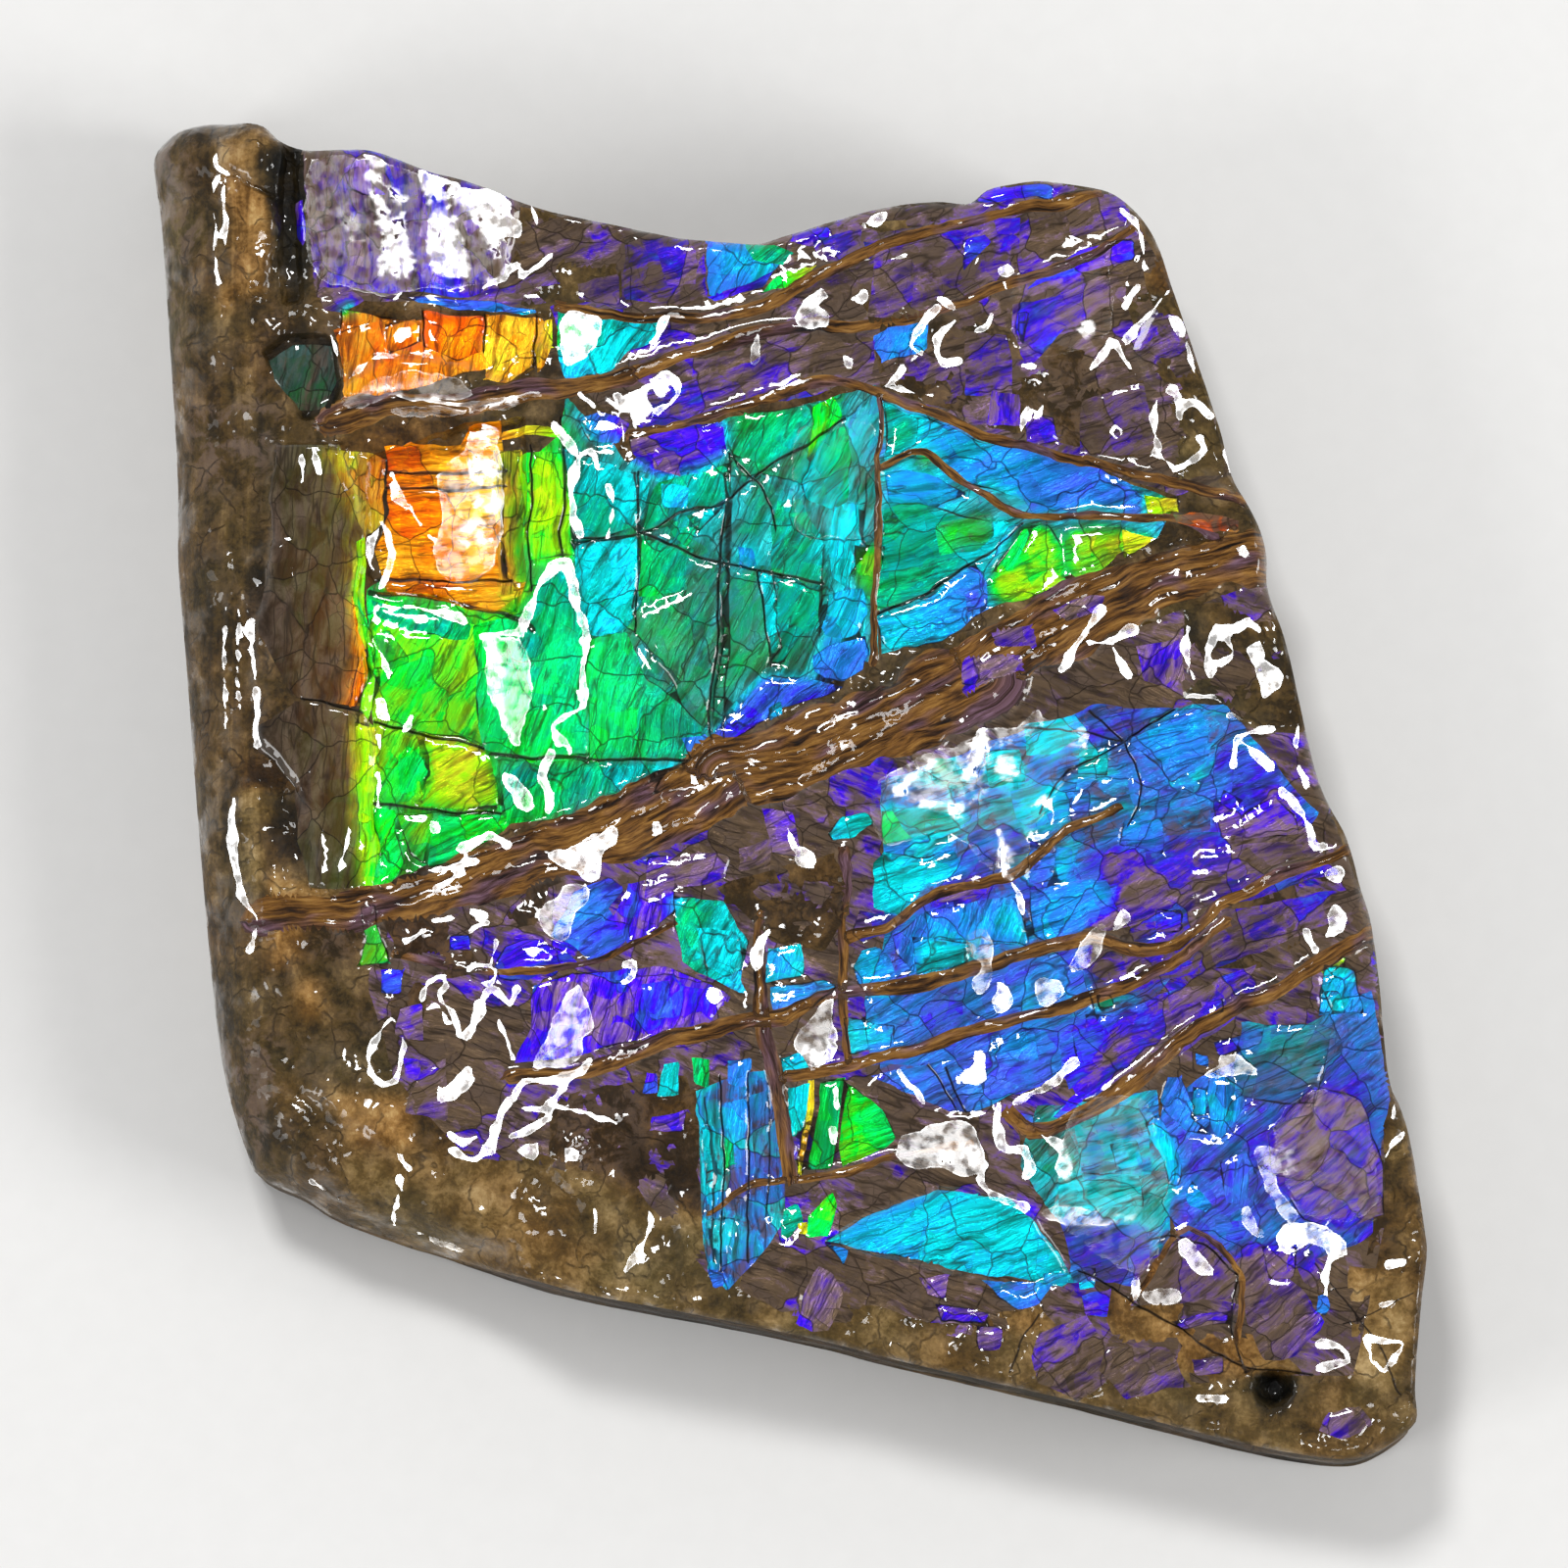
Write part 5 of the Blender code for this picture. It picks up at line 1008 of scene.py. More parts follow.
def panel_shapes(panels):
    """The panels' outlines, four-sided ones with their corners pushed about a little"""
    draws = np.random.default_rng(21)
    shapes = []
    for *_, points in panels:
        if len(points) == 4:
            left, top, right, bottom = points
            points = (left, top, right, top, right, bottom, left, bottom)
        loop = plan(points)
        if len(loop) == 4:
            push = draws.uniform(-CORNER_PUSH, CORNER_PUSH, loop.shape)
            loop = loop + push * np.ptp(loop, axis=0)[[1, 0]]
        shapes.append(loop)
    return shapes


def face_heights(spots, edge_gap):
    """The height of the face over each spot, as in the solid, and how far it may be roughened there"""
    x, y = spots.T
    from_summit = np.linalg.norm(spots - plan(FACE_SUMMIT)[0], axis=1)
    height = FACE_HEIGHT - FACE_CROWN * 2 * (from_summit / WIDTH) ** 2
    for degrees, phase, length, rise in WAVES:
        way = math.radians(degrees)
        turns = (x * math.cos(way) + y * math.sin(way)) / length + phase / 360
        height += rise * np.sin(2 * math.pi * turns)
    share = roll_share(spots)
    radius = rim_radius(share)
    rounding = radius - np.sqrt(np.maximum(radius**2 - np.maximum(radius - edge_gap, 0) ** 2, 0))
    calm = soft_step(edge_gap / RIM_RADIUS)
    relief = np.zeros(len(spots))
    for outline, level, step in PLATES.values():
        loop = plan(outline)
        near = near_box(spots, loop, step)
        relief[near] += level * soft_step(depth_inside(spots[near], loop) / step + 0.5)
    pit = np.linalg.norm(spots - plan(PIT_PLACE)[0], axis=1)
    height -= PIT_DEPTH * soft_step((PIT_MOUTH_RADIUS - pit) / (PIT_MOUTH_RADIUS - PIT_FLOOR_RADIUS))
    return height + relief * calm - SHOULDER_DROP * share**2 - rounding, calm


class Spots:
    """Plan points, each kept clear of those already there, and the links between them"""

    def __init__(self, snap):
        self.snap = snap
        self.points = []
        self.links = []
        self.cells = {}

    def nearest(self, p):
        i, j = int(p[0] // self.snap), int(p[1] // self.snap)
        for k in (i - 1, i, i + 1):
            for m in (j - 1, j, j + 1):
                for n in self.cells.get((k, m), ()):
                    q = self.points[n]
                    if math.hypot(q[0] - p[0], q[1] - p[1]) < self.snap:
                        return n
        return None

    def place(self, p):
        found = self.nearest(p)
        if found is None:
            found = len(self.points)
            self.points.append((float(p[0]), float(p[1])))
            self.cells.setdefault((int(p[0] // self.snap), int(p[1] // self.snap)), []).append(found)
        return found

    def line(self, points, kept, closed=False):
        """Places a line's kept points, with a link between each two that follow each other"""
        if closed:
            points, kept = np.vstack([points, points[:1]]), np.append(kept, kept[:1])
        last = None
        for p, good in zip(points, kept):
            here = self.place(p) if good else None
            if here is not None and last is not None and here != last:
                self.links.append((last, here))
            last = here


def offset_line(line, offset, closed=False):
    """A line moved sideways"""
    if closed:
        ahead = np.roll(line, -1, axis=0) - np.roll(line, 1, axis=0)
    else:
        ahead = np.gradient(line, axis=0)
    across = np.column_stack([-ahead[:, 1], ahead[:, 0]])
    return line + across / np.maximum(np.linalg.norm(ahead, axis=1), TINY)[:, None] * offset


def detail_lines():
    """Every line that the mesh follows, as points and whether it is closed"""
    lines = []
    for outline, _, step in PLATES.values():
        loop = even_line(plan(outline), LINE_SPACING, closed=True)
        for side in (-0.5, 0.5):
            lines.append((offset_line(loop, side * step, closed=True), True))
    for n, (path, start, end, _) in enumerate(SEAM_PATHS):
        middle = even_line(path, LINE_SPACING)
        half = np.linspace(start, end, len(middle))
        along = np.linspace(0, path_length(path), len(middle))
        for side in (-1, 1):
            wide = seam_half(n, half, along, side)[:, None]
            lines.append((offset_line(middle, side * wide), False))
            lines.append((offset_line(middle, side * (wide + SEAM_FOOT)), False))
    for _, outline in GLARE_AREAS:
        lines.append((drawn_curve(outline, closed=True), True))
    strokes = [(width * DRAWING_UNIT / 2, points) for _, width, points in GLARE_STROKES]
    strokes += [(half * MM, points) for half, points in CRACKS]
    for half, points in strokes:
        middle = drawn_curve(points)
        for side in (0, -half, half):
            lines.append((offset_line(middle, side), False))
    for loop in panel_shapes(PANELS + INCLUSIONS) + panel_shapes(STONES):
        lines.append((even_line(loop, LINE_SPACING, closed=True), True))
    return lines


def grid_spots(low, high, spacing):
    """Points of the plan in rows that make even triangles"""
    rows = np.arange(low[1], high[1], spacing * math.sqrt(3) / 2)
    found = []
    for i, y in enumerate(rows):
        xs = np.arange(low[0] + (i % 2) * spacing / 2, high[0], spacing)
        found.append(np.column_stack([xs, np.full(len(xs), y)]))
    return np.vstack(found)


def triangulated_face(edge, edge_tree):
    """Plan points and triangles of the face"""
    spots = Spots(SNAP)
    spots.line(edge, np.ones(len(edge), bool), closed=True)
    radius = np.minimum(rim_radius(roll_share(edge)), 2 * RIM_RADIUS)
    for ring in RIM_RINGS:
        ringed = offset_line(edge, -(ring * radius)[:, None], closed=True)
        good = inside(ringed, edge) & (gaps_to(edge_tree, ringed) > 0.9 * ring * radius)
        for p in ringed[good]:
            spots.place(p)
    for line, closed in detail_lines():
        kept = inside(line, edge) & (gaps_to(edge_tree, line) > RIM_CLEARANCE)
        spots.line(line, kept, closed)
    grid = grid_spots(edge.min(axis=0), edge.max(axis=0), GRID_SPACING)
    grid = grid[inside(grid, edge)]
    grid += (np.random.default_rng(5).random(grid.shape) - 0.5) * GRID_SPACING * GRID_JITTER
    free = gaps_to(tree_of(spots.points), grid) > GRID_CLEARANCE
    return triangulate(spots.points + grid[free].tolist(), spots.links)


def ends_of(value, spots, loop):
    """A panel's value at each spot: one number, or two and the way from the first to the second"""
    if not isinstance(value, tuple):
        return np.full(len(spots), float(value))
    start, end, degrees = value
    way = (math.cos(math.radians(degrees)), math.sin(math.radians(degrees)))
    reach = loop @ way
    share = (spots @ way - reach.min()) / (reach.max() - reach.min())
    return start + (end - start) * np.clip(share, 0, 1)


def corners_of(numbers):
    """The numbers of the corners of the numbered triangles"""
    return (numbers[:, None] * 3 + np.arange(3)).ravel()


def corner_facts(points, faces):
    """What each corner of each triangle shows, from the panel, seam or stone that the triangle lies in"""
    middles = points[faces].mean(axis=1)
    corners = points[faces].reshape(-1, 2)
    owner, stone = np.full((2, len(faces)), -1)
    shapes, stuck = panel_shapes(PANELS), panel_shapes(INCLUSIONS)
    for n, loop in enumerate(shapes):
        owner[numbers_inside(middles, loop)] = n
    for n, loop in enumerate(panel_shapes(STONES)):
        stone[numbers_inside(middles, loop)] = n
    broken = rough_noise(*middles.T, 1.4 * MM, 3) > -0.12
    owner[(stone >= 0) & (owner < BACKDROPS) & broken] = -1
    seam_depth = seam_facts(middles)[0]
    in_seam = seam_depth > 0
    for n, loop in enumerate(stuck, len(PANELS)):
        found = numbers_inside(middles, loop)
        owner[found] = n
        in_seam[found] = False
    shell, grain, kind = np.zeros((3, len(corners), 3))
    ground = np.tile(PLAIN_GROUND, (len(corners), 1))
    seeds = np.random.default_rng(3).random(len(PANELS) + len(INCLUSIONS))
    for n, (film, flash, mottle, degrees, _) in enumerate(PANELS + INCLUSIONS):
        at = corners_of(np.flatnonzero(owner == n))
        loop = (shapes + stuck)[n]
        shell[at, 0] = ends_of(film, corners[at], loop)
        shell[at, 1] = ends_of(flash, corners[at], loop)
        shell[at, 2] = mottle
        way = math.radians(degrees)
        grain[at, 0] = (corners[at] @ (math.cos(way), math.sin(way))) / MM
        grain[at, 1] = (corners[at] @ (-math.sin(way), math.cos(way))) / MM
        grain[at, 2] = seeds[n] * 20
        kind[at, 0] = 1
    soften(shell, faces, owner, len(points))
    for n, (*ground_facts, _) in enumerate(STONES):
        ground[corners_of(np.flatnonzero(stone == n))] = ground_facts
    every = np.ones(len(corners), bool)
    ground = spread_out(ground, faces, every, len(points), STONE_SOFTENING)
    in_seam[(owner < 0) & (stone >= 0) & (seam_depth < 0.1 * MM)] = False
    at = corners_of(np.flatnonzero(in_seam))
    _, _, along, across, number = seam_facts(corners[at])
    kind[at, :2] = (0, 1)
    grain[at] = np.column_stack([along / MM, across / MM, number * 3.7])
    return shell, grain, ground, kind


def spread_out(values, faces, used, count, rounds):
    """Corner values of the used corners averaged at their points and then with the points beside them"""
    corners = faces.ravel()
    totals, uses = np.zeros((count, 3)), np.zeros(count)
    np.add.at(totals, corners[used], values[used])
    np.add.at(uses, corners[used], 1)
    totals /= np.maximum(uses, 1)[:, None]
    links = np.vstack([faces[:, [0, 1]], faces[:, [1, 2]], faces[:, [2, 0]]])
    links = links[(uses[links] > 0).all(axis=1)]
    for _ in range(rounds):
        sums, beside = totals.copy(), np.ones(count)
        for a, b in ((0, 1), (1, 0)):
            np.add.at(sums, links[:, a], totals[links[:, b]])
            np.add.at(beside, links[:, a], 1)
        totals = sums / beside[:, None]
    return totals[corners]


def soften(shell, faces, owner, count):
    """Let the mottled panels run into their neighbours"""
    is_shell = np.repeat(owner >= 0, 3)
    is_panel = np.repeat(owner >= BACKDROPS, 3)
    soft = is_shell & (shell[:, 2] >= LEAST_SOFT_MOTTLE)
    film = spread_out(shell, faces, is_panel, count, SOFTENING)[:, 0]
    flash = spread_out(shell, faces, is_shell, count, SOFTENING)[:, 1]
    shell[soft & is_panel, 0] = film[soft & is_panel]
    shell[soft, 1] = flash[soft]


def glare_facts(points):
    """How far inside a glint each point is, in millimetres, and how strong the glint is"""
    depth = np.full(len(points), -1.0 * MM)
    strength = np.zeros(len(points))

    def lay(power, near, here):
        """Shows a glint where it covers the points more deeply or more strongly than those before it"""
        better = (here > depth[near]) | ((here > 0) & (power > strength[near]))
        depth[near[better]] = here[better]
        strength[near[better]] = power

    for power, outline in GLARE_AREAS:
        loop = curve_through(plan(outline), 0.3 * MM, closed=True)
        near = near_box(points, loop, 0.3 * MM)
        lay(power, near, depth_inside(points[near], loop))
    for power, width, line in GLARE_STROKES:
        half = width * DRAWING_UNIT / 2
        path = curve_through(plan(line), 0.3 * MM)
        near = near_box(points, path, 0.3 * MM + 2 * half)
        swell = 1 + STROKE_SWELL * lattice_noise(*points[near].T, 0.7 * MM, 5)
        lay(power, near, half * swell - nearest_on_path(points[near], path)[0])
    return depth / MM, strength


def crack_depth(points):
    """How far inside a crack or a plain panel's outline each point is, in millimetres"""
    depth = np.full(len(points), -1.0)
    for half, line in CRACKS:
        path = curve_through(plan(line), 0.3 * MM)
        near = near_box(points, path, 0.3 * MM)
        here = half - nearest_on_path(points[near], path)[0] / MM
        depth[near] = np.maximum(depth[near], here)
    for (_, _, mottle, *_), loop in zip(PANELS, panel_shapes(PANELS)):
        if mottle > OUTLINED_MOTTLE:
            continue
        near = near_box(points, loop, 0.1 * MM)
        here = OUTLINE_WIDTH - np.abs(depth_inside(points[near], loop)) / MM
        here += OUTLINE_WAVER * lattice_noise(*points[near].T, 0.9 * MM, 7)
        depth[near] = np.maximum(depth[near], here)
    return depth


def panel_relief(points, edge_gap):
    """Small tilts and levels of the shell's panels, and the grooves between them"""
    relief = np.zeros(len(points))
    draws = np.random.default_rng(8)
    for loop in panel_shapes(PANELS):
        level = draws.uniform(-0.01, 0.035) * MM
        tilt = draws.uniform(-0.012, 0.012, 2)
        if np.ptp(loop, axis=0).max() > WIDEST_TILTED_PANEL:
            continue
        near = near_box(points, loop, 0.1 * MM)
        depth = depth_inside(points[near], loop)
        slope = (points[near] - loop.mean(axis=0)) @ tilt
        lift = level + np.clip(slope, -0.05 * MM, 0.05 * MM)
        relief[near] += lift * soft_step(depth / (0.15 * MM))
        relief[near] -= PANEL_GROOVE * soft_step(1 - np.abs(depth) / (0.1 * MM))
    return relief * soft_step(edge_gap / (0.6 * MM))


def warped(points, edge_gap):
    """The plan points moved a little by smooth noise, so that no line stays ruled"""
    calm = soft_step((edge_gap - 0.05 * MM) / (0.5 * MM))[:, None]
    shift = np.zeros(points.shape)
    for size, reach, layers in WARPS:
        shift += np.column_stack([lattice_noise(*points.T, size, layer) for layer in layers]) * reach
    return points + shift * calm


def wall_rings(rim, inward):
    """Rings of points of the side wall below the rim, drawn in and out by the layers of the shale"""
    rings = []
    along = np.arange(len(rim)) * EDGE_SPACING
    top = rim[:, 2]
    for n in range(1, WALL_LEVELS + 1):
        share = n / WALL_LEVELS
        height = top + (BACK_BEVEL - top) * share
        layer = lattice_noise(height + along * 0.012, along * 0.03, 0.75 * MM, 4) * 0.16 * MM
        lumps = rough_noise(along, height * 2.2, 1.6 * MM, 5) * 0.08 * MM
        ledge = lattice_noise(height + along * 0.02, along * 0.02, 1.9 * MM, 6) * 0.12 * MM
        depth = np.maximum((layer + lumps + ledge + WALL_DEPTH) * soft_step(share * 6), 0.0)
        if n == WALL_LEVELS:
            depth = depth * 0.5 + 0.05 * MM
        rings.append(np.column_stack([rim[:, :2] + inward * depth[:, None], height]))
    foot = rings[-1].copy()
    foot[:, :2] += inward * BACK_BEVEL
    foot[:, 2] = 0
    return rings + [foot]


def face_relief(points, edge_gap, base, calm, is_shell, crack):
    """The face's height with the fibres of the seams, the rough stone, the panels' levels and the cracks"""
    x, y = points.T
    seam_depth, rise, along, across, number = seam_facts(points)
    swell = soft_step((seam_depth + SEAM_FOOT) / (SEAM_FOOT * 2))
    fibre = rough_noise(along + number, across * 5, 1.6 * MM, 2)
    height = base + calm * swell * (rise * (0.75 + 0.3 * fibre) + 0.05 * MM * fibre)
    rocky = (1 - is_shell) * (1 - swell)
    height += rocky * calm * rough_noise(x, y, 0.8 * MM, 1, 4) * ROCK_ROUGHNESS
    height += calm * rough_noise(x, y, 2.4 * MM, 4, 2) * FACE_ROUGHNESS
    height += panel_relief(points, edge_gap)
    height -= CRACK_GROOVE * soft_step((crack + 0.02) / 0.08) * calm
    return np.minimum(height, cad_box[1][2] - TOP_CLEARANCE)


def build_shell_mesh():
    """The stone's points, its triangles and quads, and what the face's corners and points show"""
    edge = even_line(curve_through(plan(EDGE), 0.1 * MM, closed=True), EDGE_SPACING, closed=True)
    edge = edge * EDGE_SHRINK
    edge_tree = tree_of(even_line(edge, 0.06 * MM, closed=True))
    points, faces = triangulated_face(edge, edge_tree)
    edge_gap = gaps_to(edge_tree, points)
    base, calm = face_heights(points, edge_gap)
    corner = corner_facts(points, faces)
    crack = crack_depth(points)
    is_shell = np.zeros(len(points))
    np.maximum.at(is_shell, faces.ravel(), corner[3][:, 0])
    height = face_relief(points, edge_gap, base, calm, is_shell, crack)
    verts = np.column_stack([warped(points, edge_gap), height])
    tree = tree_of(points)
    rim = np.array([tree.find((x, y, 0))[1] for x, y in edge])
    ahead = np.roll(edge, -1, axis=0) - np.roll(edge, 1, axis=0)
    inward = np.column_stack([ahead[:, 1], -ahead[:, 0]]) / np.linalg.norm(ahead, axis=1)[:, None]
    if not inside(edge[:1] + inward[:1] * 0.05 * MM, edge)[0]:
        inward = -inward
    rings = wall_rings(verts[rim], inward)
    count = len(rim)
    rows = [rim] + [len(verts) + k * count + np.arange(count) for k in range(len(rings))]
    quads = np.vstack([
        np.column_stack([upper, np.roll(upper, -1), np.roll(lower, -1), lower])
        for upper, lower in zip(rows[:-1], rows[1:])
    ])
    back = triangulate(rings[-1][:, :2], [(i, (i + 1) % count) for i in range(count)])[1]
    back = rows[-1][back[(back < count).all(axis=1)]]
    marks = np.column_stack([*glare_facts(points), crack])
    return np.vstack([verts] + rings), faces, quads, back, corner, marks


def add_attribute(mesh, name, domain, values, rest):
    """Values for the face's corners or points, and one for all the rest of the mesh"""
    layer = mesh.attributes.new(name, "FLOAT_VECTOR", domain)
    rests = np.tile(rest, (len(layer.data) - len(values), 1))
    layer.data.foreach_set("vector", np.vstack([values, rests]).astype(np.float32).ravel())


def make_mesh():
    verts, faces, quads, back, corner, marks = build_shell_mesh()
    mesh = bpy.data.meshes.new("fossil_slab")
    mesh.from_pydata(verts.tolist(), [], faces.tolist() + quads[:, ::-1].tolist() + back.tolist())
    for (name, wall), values in zip(WALL_CORNERS.items(), corner):
        add_attribute(mesh, name, "CORNER", values, wall)
    add_attribute(mesh, "marks", "POINT", marks, NO_MARKS)
    mesh.update()
    bm = bmesh.new()
    bm.from_mesh(mesh)
    bmesh.ops.recalc_face_normals(bm, faces=bm.faces[:])
    bm.to_mesh(mesh)
    bm.free()
    mesh.shade_smooth()
    mesh.set_sharp_from_angle(angle=math.radians(SHARP_ANGLE))
    return mesh


class Nodes:
    """Short calls that add nodes to a material or world and return their outputs"""

    def __init__(self, owner):
        self.tree = owner.node_tree

    def put(self, socket, value):
        if isinstance(value, bpy.types.NodeSocket):
            self.tree.links.new(value, socket)
        else:
            socket.default_value = value

    def make(self, kind, inputs, **settings):
        node = self.tree.nodes.new("ShaderNode" + kind)
        for name, setting in settings.items():
            setattr(node, name, setting)
        for key, value in inputs.items():
            self.put(node.inputs[key], value)
        return node

    def math(self, operation, *values):
        return self.make("Math", dict(enumerate(values)), operation=operation).outputs[0]

    def add(self, a, b):
        return self.math("ADD", a, b)

    def times(self, a, b):
        return self.math("MULTIPLY", a, b)

    def swing(self, value, reach, middle=0.5):
        """A value's way above or below its middle, times a reach"""
        return self.times(self.add(value, -middle), reach)

    def total(self, *terms):
        """The sum of values, each times its weight"""
        return reduce(self.add, [self.times(value, weight) for value, weight in terms])

    def step(self, value, low, high, start=0.0, end=1.0):
        inputs = dict(enumerate((value, low, high, start, end)))
        return self.make("MapRange", inputs, interpolation_type="SMOOTHSTEP").outputs[0]

    def fade(self, value, low, high):
        return self.step(value, low, high, 1.0, 0.0)

    def mix(self, share, a, b):
        return self.make("Mix", {0: share, 6: a, 7: b}, data_type="RGBA").outputs[2]

    def blend_number(self, share, a, b):
        return self.make("Mix", {0: share, 2: a, 3: b}).outputs[0]

    def blend_vector(self, share, a, b):
        return self.make("Mix", {0: share, 4: a, 5: b}, data_type="VECTOR").outputs[1]

    def ramp(self, value, stops):
        node = self.make("ValToRGB", {0: value})
        band = node.color_ramp.elements
        while len(band) < len(stops):
            band.new(0.5)
        for element, (place, colour) in zip(band, stops):
            element.position = place
            element.color = (*colour, 1)
        return node.outputs[0]

    def parts(self, vector):
        return self.make("SeparateXYZ", {0: vector}).outputs

    def attribute(self, name):
        """A mesh attribute as a vector, and its three numbers"""
        vector = self.make("Attribute", {}, attribute_name=name).outputs["Vector"]
        return vector, *self.parts(vector)

    def place(self, kind):
        return self.make("TexCoord", {}).outputs[kind]

    def vector(self, operation, a, b=None):
        inputs = {0: a} if b is None else {0: a, "Scale" if operation == "SCALE" else 1: b}
        return self.make("VectorMath", inputs, operation=operation).outputs[0]

    def noise(self, place, scale, detail=3.0, rough=0.55, warp=0.0, colour=False):
        inputs = {"Vector": place, "Scale": scale, "Detail": detail, "Roughness": rough, "Distortion": warp}
        return self.make("TexNoise", inputs).outputs["Color" if colour else "Fac"]

    def stretched_noise(self, place, stretch, detail, rough, warp=0.0):
        return self.noise(self.vector("MULTIPLY", place, stretch), 1.0, detail, rough, warp)

    def wandering(self, place, scale, reach):
        """A place pushed about by soft noise"""
        push = self.noise(place, scale, 2.0, 0.5, colour=True)
        return self.vector("ADD", place, self.vector("SCALE", push, reach))

    def cell_draws(self, place, scale):
        """Three numbers drawn for each cell"""
        cells = self.make("TexVoronoi", {"Vector": place, "Scale": scale}, feature="F1")
        return self.parts(cells.outputs["Color"])

    def cell_edges(self, place, scale, width):
        """Lines between cells"""
        inputs = {"Vector": place, "Scale": scale}
        cells = self.make("TexVoronoi", inputs, feature="DISTANCE_TO_EDGE")
        return self.fade(cells.outputs["Distance"], 0.0, width)

    def bump(self, height):
        """A normal tilted by a height in millimetres"""
        return self.make("Bump", {"Strength": 1.0, "Distance": MM, "Height": height}).outputs[0]


def camera_way():
    tilt = math.radians(CAMERA_TILT)
    return Vector((0, -math.sin(tilt), math.cos(tilt)))


def film_look(n, place_mm):
    """Colour with painted highlights beside its folds, share of flash, relief and fine striae of the
    iridescent shell
    """
    _, film, flash, mottle = n.attribute("shell")
    grain = n.attribute("grain")[0]
    striae = n.stretched_noise(grain, (0.35, 2.6, 1.0), 4.0, 0.6, 0.5)
    fine = n.stretched_noise(grain, (2.2, 12.0, 1.0), 2.0, 0.6)
    patches = n.stretched_noise(grain, (0.8, 1.3, 1.0), 5.0, 0.65, 0.5)
    folds = n.stretched_noise(grain, (0.2, 1.5, 1.0), 2.0, 0.5, 0.25)
    fold = n.math("ABSOLUTE", n.add(folds, -0.5))
    fold_line = n.times(n.fade(fold, 0.0, 0.03), n.step(patches, 0.35, 0.55))
    # Beside each fold the shell is lit up and raised a little: a painted highlight along the folds, and a
    # low ridge in the relief
    fold_ridge_highlight = n.fade(fold, 0.03, 0.12)
    plate_place = n.wandering(place_mm, 0.8, 0.9)
    plate_draw = n.cell_draws(plate_place, PLATE_SCALE)
    shard_draw = n.cell_draws(plate_place, SHARD_SCALE)
    crack = n.cell_edges(plate_place, PLATE_SCALE, 0.016)
    small_crack = n.times(n.cell_edges(plate_place, SHARD_SCALE, 0.03), n.step(patches, 0.5, 0.6))

    shift = n.swing(striae, 0.2)
    shift = n.add(shift, n.swing(plate_draw[0], n.add(n.times(mottle, 0.1), 0.05)))
    shift = n.add(shift, n.swing(shard_draw[0], 0.05))
    shift = n.add(shift, n.swing(patches, n.add(n.times(mottle, 0.3), 0.08)))
    colour = n.ramp(n.add(film, shift), FILM)

    bright = n.step(striae, 0.3, 0.66, 0.25, 1.5)
    # Random shades of the plates, the shards and the fine grain, and the painted highlight beside the folds
    shades = ((plate_draw[1], 0.75, 0.5), (shard_draw[1], 0.85, 0.3), (fine, 0.85, 0.3), (fold_ridge_highlight, 1, 0.3))
    for value, least, reach in shades:
        bright = n.times(bright, n.add(least, n.times(value, reach)))
    contrast = n.step(mottle, 0.05, 0.4, 0.75, 1.0)
    bright = n.add(1.0, n.swing(bright, contrast, 1.0))
    flashing = n.vector("SCALE", colour, n.math("MINIMUM", bright, 1.2))

    hole = n.step(n.add(patches, n.swing(mottle, 0.25, 1.0)), 0.47, 0.6)
    shown = n.times(flash, n.add(1.0, n.times(hole, n.times(mottle, -0.85))))
    shown = n.math("MINIMUM", n.times(shown, 1.2), 1.0)
    body = n.mix(n.step(patches, 0.35, 0.7), (0.022, 0.014, 0.008, 1), (0.11, 0.075, 0.055, 1))
    look = n.mix(shown, body, flashing)
    lines = n.math("MAXIMUM", n.times(crack, 0.7), n.times(small_crack, 0.4))
    lines = n.math("MAXIMUM", lines, n.times(fold_line, 0.65))
    look = n.mix(lines, look, (0.012, 0.008, 0.004, 1))
    relief = n.total((striae, 0.2), (fine, 0.03), (lines, -0.05), (fold_ridge_highlight, 0.03))
    return look, shown, relief, fine


def seam_look(n):
    """Colour and relief of the fibrous brown seams, with painted highlights on the crests of their ropes"""
    grain = n.attribute("grain")[0]
    ropes = n.stretched_noise(grain, (0.3, 2.4, 1.0), 3.0, 0.6, 0.6)
    rope_crest_and_highlight = n.add(1.0, n.times(n.math("ABSOLUTE", n.add(ropes, -0.5)), -5.0))
    # The ropes' crests are raised in the relief and lighter in the tone: a painted highlight on the crests,
    # and painted shade in the troughs between them
    fibre = n.stretched_noise(grain, (0.7, 6.5, 1.0), 4.0, 0.65, 0.6)
    rust = n.stretched_noise(grain, (0.35, 0.9, 1.0), 2.0, 0.5)
    tone = n.total((fibre, 0.7), (rope_crest_and_highlight, 0.22))
    look = n.mix(n.step(rust, 0.52, 0.66), n.ramp(tone, RUSTY_SEAM), n.ramp(tone, MAUVE_SEAM))
    return look, n.total((fibre, 0.12), (rope_crest_and_highlight, 0.06))


